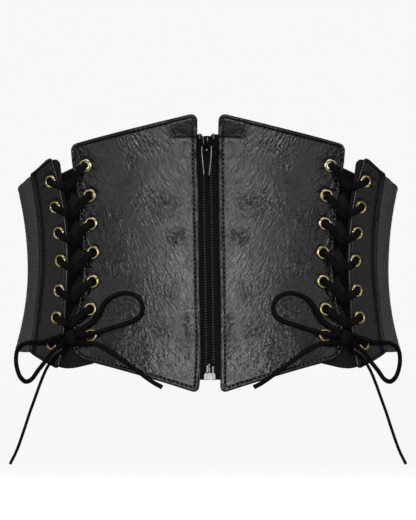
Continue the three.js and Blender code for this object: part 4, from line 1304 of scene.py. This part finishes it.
def softened(piece, radius, segments=3):
    """Rounds a metal piece's edges."""
    bevel = piece.modifiers.new("edges", "BEVEL")
    bevel.width = radius
    bevel.segments = segments
    bevel.limit_method = "ANGLE"
    bevel.angle_limit = math.radians(35)
    piece.data.set_sharp_from_angle(angle=bevel.angle_limit)
    return piece


def rounded_outline(points, radius, steps=5):
    """An outline with its corners turned into short curves."""
    points = np.asarray(points, float)
    made = []
    for i, corner in enumerate(points):
        before, after = points[i - 1], points[(i + 1) % len(points)]
        reach = min(radius, np.linalg.norm(before - corner) * 0.45, np.linalg.norm(after - corner) * 0.45)
        start = corner + unit(before - corner) * reach
        end = corner + unit(after - corner) * reach
        for t in np.linspace(0, 1, steps):
            made.append((1 - t) ** 2 * start + 2 * t * (1 - t) * corner + t * t * end)
    return made


def mirror_outline(right):
    return list(right) + [(-x, y) for x, y in reversed(right)]


SLIDER_HALF = 0.005
SLIDER_WIDE = 0.0046
PLATE_INSIDE = COIL_OUTSIDE + 0.0003
PLATE_OUTSIDE = PLATE_INSIDE + 0.001
BACK_OUTSIDE = 0.0
CROWN_HALF = 0.004
CROWN_RISE = 0.003
PIVOT_RISE = 0.001 + 0.0003 + 0.0006 - CROWN_HALF
PIVOT_LIFT = PLATE_OUTSIDE + (CROWN_RISE - 0.001) / 2
PULL_LENGTH = 0.0233
PULL_THICKNESS = 0.0012


def arch(width):
    """The slider's bridge, from above its shoulders to its foot, as (along, up, outwards)."""
    stops = [(-CROWN_HALF, -0.0003), (-CROWN_HALF + 0.0002, 0.0016), (-CROWN_HALF + 0.0012, 0.0025),
             (-0.001, 0.00265), (0.0016, 0.00255), (CROWN_HALF - 0.0006, 0.0019), (CROWN_HALF, -0.0003)]
    route = np.array([(0, y, PLATE_OUTSIDE + z) for y, z in stops])
    path, _, _ = route_curve(route, 0.0003)
    wide = np.tile((1.0, 0.0, 0.0), (len(path), 1))
    share = np.linspace(-1, 1, len(path))
    return tube(path, wide, width * (1 + 0.25 * share ** 2), 0.0009, sides=12, fullness=0.6)[:2]


# How deep the plate's rail is set in, which leaves the pull room to turn over it
RAIL_SINK = 0.00015


def rail(stops, lift, width=0.0007):
    """A low raised edge along a plate, as (along, up) stops."""
    path, _, _ = route_curve([(x, y, lift) for x, y in stops], 0.0008)
    wide = np.tile((1.0, 0.0, 0.0), (len(path), 1))
    return tube(path, wide, width, 0.0006, sides=8, round_ends=True)[:2]


def make_slider(black_metal):
    outline = rounded_outline(mirror_outline([
        (SLIDER_WIDE - 0.0010, -SLIDER_HALF), (SLIDER_WIDE, -0.0018), (SLIDER_WIDE, 0.001),
        (SLIDER_WIDE - 0.0017, SLIDER_HALF),
    ]), 0.0014)
    strip = [(0.00335, -0.0045), (0.0043, -0.0045), (0.0043, 0.001), (0.00335, 0.001)]
    wedge = [(-0.0009, 0.00225), (0.0009, 0.00225), (0.0012, 0.0045), (-0.0012, 0.0045)]
    parts = [
        prism(outline, PLATE_INSIDE, PLATE_OUTSIDE),
        prism(outline, BACK_OUTSIDE - 0.001, BACK_OUTSIDE),
        prism(strip, COIL_INSIDE, PLATE_INSIDE + 0.0002),
        mirrored(*prism(strip, COIL_INSIDE, PLATE_INSIDE + 0.0002)),
        prism(wedge, BACK_OUTSIDE - 0.0002, PLATE_INSIDE + 0.0002),
        arch(0.0021),
    ]
    rails = [
        rail([(-0.0026, 0.0044), (-0.0024, 0.0010), (-0.0019, -0.0030)], PLATE_OUTSIDE - RAIL_SINK),
        rail([(0.0006, 0.0040), (0.0007, 0.0024), (0.0008, 0.0008)], PLATE_OUTSIDE + 0.0029),
    ]
    rubbed = np.repeat([0.0, 1.0], [sum(len(part[0]) for part in parts), sum(len(part[0]) for part in rails)])
    points, faces = join_parts(parts + rails)
    place = (float(zip_shift(SLIDER_HEIGHT)), SLIDER_HEIGHT)
    piece = make_object("slider_body", placed(points, *place), faces, {"rubbed": rubbed})
    finish_piece(softened(piece, 0.0003), black_metal, ["zip_slider"])


def pull_pivot():
    place = (float(zip_shift(SLIDER_HEIGHT)), SLIDER_HEIGHT)
    return placed([(0, PIVOT_RISE, PIVOT_LIFT)], *place)[0]


def make_pull(black_metal):
    outline = rounded_outline(mirror_outline([
        (0.0013, -PULL_LENGTH), (0.0022, 0.0012 - PULL_LENGTH), (0.0039, -0.0072), (0.0039, -0.0002),
        (0.0031, 0.0006),
    ]), 0.0012)
    count = len(outline)
    angle = [math.atan2(y + 0.0042, x) for x, y in outline]
    eye = [(0.0016 * np.sign(math.cos(a)) * abs(math.cos(a)) ** 0.6,
            -0.0042 + 0.0036 * np.sign(math.sin(a)) * abs(math.sin(a)) ** 0.6) for a in angle]
    assert len(eye) == count
    half = PULL_THICKNESS / 2
    body = prism(outline, -half, half, eye)
    rails = []
    for sign in (1, -1):
        stops = [(0.0036, -0.0006), (0.0034, -0.0072), (0.00265, -0.0150), (0.0019, 0.0013 - PULL_LENGTH)]
        rails.append(rail([(sign * x, y) for x, y in stops], half + 0.0001, 0.0009))
    rubbed = np.repeat([0.0, 1.0], [len(body[0]), sum(len(part[0]) for part in rails)])
    points, faces = join_parts([body] + rails)
    x, y, z = pull_pivot()
    points = np.array([(px + x, y - pz, py + z) for px, py, pz in points])
    piece = make_object("pull_tab", points, faces, {"rubbed": rubbed})
    finish_piece(softened(piece, 0.0003), black_metal, ["zip_pull"], body="pull")


def metal_bar(length, width, depth, bend=0.0):
    """A small bar standing up on its spot, waisted in its middle where it is pinched on."""
    rows = np.linspace(-0.5, 0.5, 9)
    path = np.stack([np.zeros(9), rows * length, np.full(9, depth / 2) - bend * rows ** 2], -1)
    wide = np.tile((1.0, 0.0, 0.0), (9, 1))
    return tube(path, wide, width * (1 - 0.12 * np.cos(rows * 2 * math.pi)), depth, sides=12, fullness=0.5)[:2]


STOP_HEIGHT = 0.094
STOP_OFFSET = 0.0051
STOP_RUBBED = 0.5


def make_zip_ends(steel, black_metal):
    stop = metal_bar(0.0040, 0.0018, 0.0018)
    for side, sign in SIDES.items():
        spot = (sign * float(zip_shift(STOP_HEIGHT)) + STOP_OFFSET, STOP_HEIGHT)
        skin = on_side(sign, placed(stop[0], *spot, lift=COIL_INSIDE), stop[1])
        piece = make_object(f"top_stop_{side}", *skin, {"rubbed": np.full(len(skin[0]), STOP_RUBBED)})
        finish_piece(piece, black_metal, [f"zip_top_stop_{side}"])
    half = 0.0041
    flared = rounded_outline([
        (-half, 0), (half, 0), (half + 0.0003, 0.0022), (half - 0.0002, 0.005), (-half + 0.0002, 0.005),
        (-half - 0.0003, 0.0022),
    ], 0.0008)
    cheeks = [(0.0019, 0.0003), (half - 0.0001, 0.0003), (half + 0.0001, 0.0022), (half - 0.0004, 0.0047),
              (0.0021, 0.0047)]
    retainer = metal_bar(0.0058, 0.0015, 0.0016)
    retainer = np.asarray(retainer[0]) + (half - 0.0008 - 0.00075, 0.005 + 0.0019, COIL_INSIDE + 0.0003), retainer[1]
    parts = [
        prism(flared, COIL_INSIDE, COIL_INSIDE + 0.0016),
        prism(rounded_outline(cheeks, 0.0007), COIL_INSIDE + 0.0015, COIL_INSIDE + 0.0023),
        mirrored(*prism(rounded_outline(cheeks, 0.0007), COIL_INSIDE + 0.0015, COIL_INSIDE + 0.0023)),
        retainer,
    ]
    points, faces = join_parts(parts)
    piece = make_object("zip_foot", placed(points, float(zip_shift(TAPE_BOTTOM)), TAPE_BOTTOM), faces)
    finish_piece(softened(piece, 0.00025), steel, ["zip_box"])
    height = TAPE_BOTTOM + 0.005 + 0.0003
    pin = metal_bar(PIN_LENGTH, 0.0029, 0.0018)
    points = np.asarray(pin[0]) + (0.0001 - 0.00145, PIN_LENGTH / 2, COIL_INSIDE)
    piece = make_object("insert_pin", placed(points, float(zip_shift(height)), height), pin[1])
    finish_piece(piece, steel, ["zip_pin"])


# Materials

class Socket:
    """One output of a material's nodes; arithmetic on it adds Math nodes."""

    def __init__(self, finish, socket):
        self.finish = finish
        self.socket = socket

    def math(self, operation, *values, clamp=False):
        settings = {"operation": operation, "use_clamp": clamp}
        return self.finish.add("ShaderNodeMath", settings, dict(enumerate(values)))

    def __add__(self, other):
        return self.math("ADD", self, other)

    def __sub__(self, other):
        return self.math("SUBTRACT", self, other)

    def __rsub__(self, other):
        return self.math("SUBTRACT", other, self)

    def __mul__(self, other):
        return self.math("MULTIPLY", self, other)

    def __truediv__(self, other):
        return self.math("DIVIDE", self, other)

    def __pow__(self, other):
        return self.math("POWER", self, other)

    def __abs__(self):
        return self.math("ABSOLUTE", self)

    __radd__ = __add__
    __rmul__ = __mul__

    def clamped(self):
        return self.math("ADD", self, 0.0, clamp=True)

    def sine(self):
        return self.math("SINE", self)

    def larger(self, other):
        return self.math("MAXIMUM", self, other)


class Finish:
    """A material built up from expressions on its sockets."""

    def __init__(self, name):
        self.material = bpy.data.materials.new(name)
        self.material.use_nodes = True
        self.tree = self.material.node_tree
        self.tree.nodes.clear()

    def add(self, kind, settings=None, values=None, output=0):
        """Adds a node, sets it up, fills or links its sockets, and gives back one of its outputs."""
        node = self.tree.nodes.new(kind)
        for key, value in (settings or {}).items():
            if key == "stops":
                self.set_stops(node.color_ramp, value)
            else:
                setattr(node, key, value)
        for key, value in (values or {}).items():
            if isinstance(value, Socket):
                self.tree.links.new(value.socket, node.inputs[key])
            else:
                node.inputs[key].default_value = value
        return Socket(self, node.outputs[output]) if node.outputs else node

    def set_stops(self, ramp, stops):
        while len(ramp.elements) < len(stops):
            ramp.elements.new(0.5)
        for element, (place, colour) in zip(ramp.elements, stops):
            element.position = place
            element.color = (*colour, 1)

    def place(self):
        """The point on the belt in metres, alike on the left and the right."""
        spot = self.add("ShaderNodeTexCoord", output="Object")
        x, y, z = (self.add("ShaderNodeSeparateXYZ", None, {0: spot}, output=axis) for axis in range(3))
        return self.join(abs(x), y, z)

    def join(self, x, y, z):
        return self.add("ShaderNodeCombineXYZ", None, {0: x, 1: y, 2: z})

    def split(self, vector):
        return [self.add("ShaderNodeSeparateXYZ", None, {0: vector}, output=axis) for axis in range(3)]

    def attribute(self, name):
        return self.add("ShaderNodeAttribute", {"attribute_name": name}, output="Fac")

    def noise(self, vector, scale, detail=2.0, roughness=0.5, distortion=0.0):
        values = {"Vector": vector, "Scale": scale, "Detail": detail, "Roughness": roughness,
                  "Distortion": distortion}
        return self.add("ShaderNodeTexNoise", None, values, output="Fac")

    def cells(self, vector, scale, feature="F1", output="Distance"):
        values = {"Vector": vector, "Scale": scale}
        return self.add("ShaderNodeTexVoronoi", {"feature": feature}, values, output=output)

    def stretch(self, vector, lengths, rotation=(0, 0, 0)):
        """The same place in axes that are turned first and then drawn out by the given lengths."""
        values = {"Vector": vector, "Rotation": rotation, "Scale": lengths}
        return self.add("ShaderNodeMapping", {"vector_type": "TEXTURE"}, values)

    def ramp(self, value, low, high):
        values = {"Value": value, "From Min": low, "From Max": high}
        return self.add("ShaderNodeMapRange", {"clamp": True}, values)

    def mix(self, factor, first, second):
        settings = {"data_type": "RGBA"}
        values = {0: factor, 6: self.colour(first), 7: self.colour(second)}
        return self.add("ShaderNodeMix", settings, values, output=2)

    def colour(self, value):
        return value if isinstance(value, Socket) else (*value, 1)

    def bump(self, height, distance, strength=1.0, normal=None):
        values = {"Height": height, "Distance": distance, "Strength": strength}
        if normal is not None:
            values["Normal"] = normal
        return self.add("ShaderNodeBump", None, values)

    def surface(self, **values):
        """The finished shader; spaces in socket names are written as underscores."""
        values = {key.replace("_", " "): value for key, value in values.items()}
        colour = values.get("Base Color")
        if colour is not None:
            values["Base Color"] = self.colour(colour)
        shader = self.add("ShaderNodeBsdfPrincipled", None, values)
        self.add("ShaderNodeOutputMaterial", None, {"Surface": shader})
        return self.material


LEATHER_DARK = (0.0060, 0.0057, 0.0060)
# Lighter colour painted on the crinkle crests as painted highlights, in place of glints
LEATHER_PAINTED_GLINT = (0.032, 0.0295, 0.031)


def leather_finish():
    """Glossy black hide, smooth in some places and finely creased in others, with its crinkle crests painted lighter
    as painted highlights.
    """
    finish = Finish("black_leather")
    place = finish.place()
    creased = finish.attribute("creased")
    drift = finish.noise(place, 45, 1, 0.5)
    bent = finish.add("ShaderNodeVectorMath", {"operation": "ADD"}, {
        0: place, 1: finish.join(drift * 0.008, 0.0, drift * 0.003),
    })
    streaked = finish.stretch(bent, (1, 1, 3.0), (0, STREAK_LEAN, 0))
    crinkle = finish.noise(streaked, 680, 1.2, 0.5, 0.15)
    fine = finish.noise(streaked, 1500, 1, 0.5)
    pores = finish.cells(place, 1900)
    cloudy = finish.noise(place, 62, 3, 0.55)
    relief = finish.bump(pores, 0.00003, 0.5)
    relief = finish.bump((crinkle + fine * 0.25 - 0.625) * creased, 0.00098, 1.0, relief)
    x, y, z = finish.split(place)
    fold = abs(z - CREASE_HEIGHT + (finish.noise(place, 110, 1) - 0.5) * 0.003)
    folded = (1 - finish.ramp(fold, 0.0001, 0.0010)) * (1 - finish.ramp(x, CREASE_REACH - 0.005, CREASE_REACH))
    relief = finish.bump(1 - folded, 0.0006, 1.0, relief)
    # Painted highlight: where the hide is creased, the crinkle crests get the lighter colour in place of glints
    painted_glint = (finish.ramp(crinkle, 0.56, 0.70) * creased).clamped()
    return finish.surface(
        Base_Color=finish.mix(painted_glint, LEATHER_DARK, LEATHER_PAINTED_GLINT),
        Roughness=0.27 + (cloudy - 0.5) * 0.22 - 0.07 * creased + 0.3 * folded,
        Specular_IOR_Level=0.5,
        Normal=relief,
    )


def thread_finish():
    finish = Finish("black_thread")
    place = finish.place()
    ply = finish.stretch(place, (1, 1, 1), (0.6, 0.5, 0))
    twist = (finish.split(ply)[0] * 9000).sine()
    return finish.surface(
        Base_Color=finish.mix(finish.noise(place, 400), (0.0015, 0.0015, 0.0015), (0.0045, 0.0045, 0.0045)),
        Roughness=0.8,
        Specular_IOR_Level=0.12,
        Normal=finish.bump(twist, 0.0001, 0.6),
    )


def coil_thread_finish():
    """The thread that ties the coils down: a little glossy, and given a light grey colour as painted highlights on the
    black thread.
    """
    finish = Finish("coil_thread")
    fibres = finish.noise(finish.place(), 2200, 2, 0.5)
    return finish.surface(
        # Painted highlight: light grey stands in for the glints on the black thread
        Base_Color=finish.mix(fibres, (0.050, 0.050, 0.050), (0.160, 0.157, 0.154)),
        Roughness=0.40,
        Normal=finish.bump(fibres, 0.00006, 0.5),
    )


def braid_finish():
    """Flat tubular braid: strands cross over and under in herringbone down the lace."""
    finish = Finish("braided_lace")
    run, turn = finish.attribute("run"), finish.attribute("turn")
    climb = run * (2 * math.pi / 0.0034)
    round_ = turn * (2 * math.pi * 8)
    first = (climb + round_).sine()
    second = (climb - round_).sine()
    over = finish.ramp((climb * 0.5 + round_ * 0.5).sine(), -0.3, 0.3)
    weave = (abs(first) * over + abs(second) * (1 - over)).clamped()
    fuzz = finish.noise(finish.place(), 1600, 3, 0.6)
    return finish.surface(
        Base_Color=finish.mix(weave * 0.7 + fuzz * 0.3, (0.0020, 0.0019, 0.0020), (0.0070, 0.0066, 0.0068)),
        Roughness=0.80 - 0.12 * weave,
        Specular_IOR_Level=0.12,
        Normal=finish.bump(weave * 0.8 + fuzz * 0.5, 0.00025, 0.8),
    )


def elastic_finish():
    """Covered rubber cords run along the band; fine threads cross them. The grooves between the ribs are painted
    darker as painted shade.
    """
    finish = Finish("ribbed_elastic")
    place = finish.place()
    x, y, z = finish.split(place)
    ribs = abs((z * (math.pi / 0.0015)).sine())
    threads = finish.noise(finish.stretch(place, (1, 1, 8)), 2600, 2, 0.5)
    knit = finish.cells(finish.stretch(place, (1, 1, 0.62)), 1300)
    # Painted shade in the grooves between the ribs, plus the threads' own random tone
    rib_shade_and_thread_tone = (ribs * 0.55 + threads * 0.45).clamped()
    cloudy = finish.noise(place, 60, 3, 0.5)
    return finish.surface(
        Base_Color=finish.mix(rib_shade_and_thread_tone, (0.034, 0.032, 0.033), (0.170, 0.161, 0.165)),
        Roughness=0.66 + (cloudy - 0.5) * 0.12,
        Specular_IOR_Level=0.4,
        Normal=finish.bump(ribs * 0.9 + knit * 0.35 + threads * 0.3, 0.00045, 0.8),
    )


def modesty_finish():
    finish = Finish("ribbed_cloth")
    place = finish.place()
    x, y, z = finish.split(place)
    threads = finish.noise(finish.stretch(place, (1, 1, 6)), 1500, 3, 0.55)
    twill = abs(((z + (x - y) * 0.8) * (math.pi / 0.0009)).sine())
    return finish.surface(
        Base_Color=finish.mix(threads, (0.0080, 0.0076, 0.0074), (0.034, 0.0325, 0.0315)),
        Roughness=0.82,
        Specular_IOR_Level=0.15,
        Normal=finish.bump(threads * 0.8 + twill * 0.5, 0.0004, 0.7),
    )


def tape_finish():
    finish = Finish("woven_tape")
    place = finish.place()
    x, y, z = finish.split(place)
    herring = abs(((z * 1.0 + abs((x * (math.pi / 0.0038)).sine()) * 0.0022) * (math.pi / 0.0007)).sine())
    fuzz = finish.noise(place, 1800, 2, 0.5)
    return finish.surface(
        Base_Color=finish.mix(herring * 0.6 + fuzz * 0.4, (0.0042, 0.0042, 0.0042), (0.0130, 0.0130, 0.0134)),
        Roughness=0.84,
        Specular_IOR_Level=0.12,
        Normal=finish.bump(herring * 0.8 + fuzz * 0.4, 0.0002, 0.7),
    )


def nylon_finish():
    finish = Finish("coil_nylon")
    scuffs = finish.noise(finish.place(), 900, 3, 0.6)
    return finish.surface(
        Base_Color=finish.mix(scuffs, (0.0020, 0.0020, 0.0020), (0.006, 0.006, 0.006)),
        Roughness=0.36 + 0.2 * scuffs,
        Specular_IOR_Level=0.22,
        Normal=finish.bump(scuffs, 0.00005, 0.4),
    )


def brass_finish():
    finish = Finish("gilt_brass")
    place = finish.place()
    tarnish = finish.ramp(finish.noise(place, 150, 3, 0.5), 0.48, 0.74)
    scratches = finish.noise(finish.stretch(place, (1, 1, 0.17)), 900, 3, 0.6)
    return finish.surface(
        Base_Color=finish.mix(tarnish, (0.80, 0.66, 0.34), (0.42, 0.30, 0.13)),
        Metallic=1.0,
        Roughness=0.20 + 0.16 * tarnish + 0.08 * scratches,
        Normal=finish.bump(scratches, 0.00004, 0.4),
    )


def black_metal_finish():
    """Black plating, rubbed bright along its raised edges."""
    finish = Finish("black_plated_metal")
    place = finish.place()
    rubbed = finish.attribute("rubbed")
    wear = finish.ramp(finish.noise(place, 420, 3, 0.6), 0.30, 0.62)
    grain = finish.noise(place, 1900, 2, 0.5)
    return finish.surface(
        Base_Color=finish.mix(rubbed * (0.35 + 0.65 * wear), (0.0022, 0.0022, 0.0023), (0.26, 0.255, 0.25)),
        Metallic=1.0,
        Roughness=0.30 + 0.12 * grain,
        Normal=finish.bump(grain, 0.00003, 0.4),
    )


def steel_finish():
    finish = Finish("nickel_steel")
    place = finish.place()
    haze = finish.noise(place, 420, 4, 0.6)
    brushed = finish.noise(finish.stretch(place, (1, 1, 10)), 2600, 2, 0.5)
    return finish.surface(
        Base_Color=finish.mix(haze, (0.13, 0.13, 0.13), (0.30, 0.30, 0.29)),
        Metallic=1.0,
        Roughness=0.30 + 0.14 * haze,
        Normal=finish.bump(brushed, 0.00004, 0.4),
    )


# Floor, backdrop and light

FLOOR_HEIGHT = -0.42
STAGE_RADIUS = 3.4
SWEEP_RADIUS = 1.0
WALL_TOP = 2.6
STAGE_SIDES = 96


def make_stage():
    """A round pale floor that curves up into a wall on every side."""
    profile = [(0.0, 0.0), (STAGE_RADIUS - SWEEP_RADIUS, 0.0)]
    for turn in np.linspace(0, math.pi / 2, 25)[1:]:
        profile.append((
            STAGE_RADIUS - SWEEP_RADIUS * (1 - math.sin(turn)),
            SWEEP_RADIUS * (1 - math.cos(turn)),
        ))
    profile.append((STAGE_RADIUS, WALL_TOP - FLOOR_HEIGHT))
    angles = np.arange(STAGE_SIDES) * 2 * math.pi / STAGE_SIDES
    points = [
        (reach * math.cos(angle), reach * math.sin(angle), FLOOR_HEIGHT + rise)
        for reach, rise in profile[1:] for angle in angles
    ]
    faces = [list(range(STAGE_SIDES))]
    for ring in range(len(profile) - 2):
        for i in range(STAGE_SIDES):
            low, beside = ring * STAGE_SIDES + i, ring * STAGE_SIDES + (i + 1) % STAGE_SIDES
            faces.append([low, low + STAGE_SIDES, beside + STAGE_SIDES, beside])
    sweep = make_object("sweep", points, faces)
    finish = Finish("pale_paper")
    mottle = finish.noise(finish.place(), 3, 2, 0.5)
    sweep.data.materials.append(finish.surface(
        Base_Color=finish.mix(mottle, (0.17, 0.17, 0.17), (0.19, 0.19, 0.19)),
        Roughness=0.95,
        Specular_IOR_Level=0.1,
        Emission_Color=(1, 1, 1, 1),
        Emission_Strength=STAGE_GLOW,
    ))
    sweep.visible_glossy = False
    sweep.visible_diffuse = False
    sweep.visible_shadow = False
    sweep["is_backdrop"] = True


STAGE_GLOW = 0.91
SKY = 0.05

# Lamps: place, size (wide, tall), roll in degrees, power in watts
LAMPS = {
    "front_strip": ((0, -1.62, 0.27), (0.16, 0.54), 0, 5.1),
    "low_centre": ((0, -1.60, -0.11), (0.70, 0.26), 0, 0.6),
    "low_wide": ((0, -1.58, -0.15), (2.6, 0.20), 0, 3.9),
    "left_fill": ((-1.3, -1.2, 0.5), (0.8, 1.2), 0, 3.0),
    "right_fill": ((1.3, -1.2, 0.5), (0.8, 1.2), 0, 3.0),
    "left_side": ((-1.7, -0.35, 0.2), (0.9, 1.2), 0, 1.3),
    "right_side": ((1.7, -0.35, 0.2), (0.9, 1.2), 0, 1.3),
    "behind": ((0, 1.9, 0.5), (1.8, 1.0), 0, 14),
    "overhead": ((0.0, -0.7, 1.7), (1.4, 0.9), 0, 9),
}


def make_light():
    scene = bpy.context.scene
    scene.view_settings.view_transform = "Standard"
    world = bpy.data.worlds.new("room")
    world.use_nodes = True
    background = world.node_tree.nodes["Background"]
    background.inputs["Color"].default_value = (1, 1, 1, 1)
    background.inputs["Strength"].default_value = SKY
    scene.world = world
    for name, (place, size, roll, power) in LAMPS.items():
        lamp = bpy.data.lights.new(name, "AREA")
        lamp.shape = "RECTANGLE"
        lamp.size, lamp.size_y = size
        lamp.energy = power
        holder = bpy.data.objects.new(name, lamp)
        holder.location = place
        aim = Vector((0, 0, 0)) - Vector(place)
        facing = aim.to_track_quat("-Z", "Y") @ Quaternion((0, 0, 1), math.radians(roll))
        holder.rotation_euler = facing.to_euler()
        holder.visible_camera = False
        scene.collection.objects.link(holder)


def make_camera():
    scene = bpy.context.scene
    camera = bpy.data.cameras.new("camera")
    camera.lens = CAMERA_LENS
    camera.sensor_width = 36
    camera.clip_start = 0.05
    holder = bpy.data.objects.new("camera", camera)
    holder.location = CAMERA_PLACE
    holder.rotation_euler = (math.pi / 2, 0, 0)
    scene.collection.objects.link(holder)
    scene.camera = holder


def build():
    make_camera()
    braid, leather, thread = braid_finish(), leather_finish(), thread_finish()
    make_cords(braid)
    make_laces(braid)
    make_knots(braid)
    make_leather(leather, thread)
    make_elastic(elastic_finish())
    ribbed = modesty_finish()
    make_modesty(ribbed)
    make_facing(ribbed)
    make_tapes(tape_finish())
    make_coils(nylon_finish(), coil_thread_finish())
    make_eyelets(brass_finish())
    black_metal, steel = black_metal_finish(), steel_finish()
    make_slider(black_metal)
    make_pull(black_metal)
    make_zip_ends(steel, black_metal)
    make_stage()
    make_light()


build()

boxes = {"cad": cad_bounds, "visual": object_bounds()}
{key: [list(map(float, corner)) for corner in box] for key, box in boxes.items()}
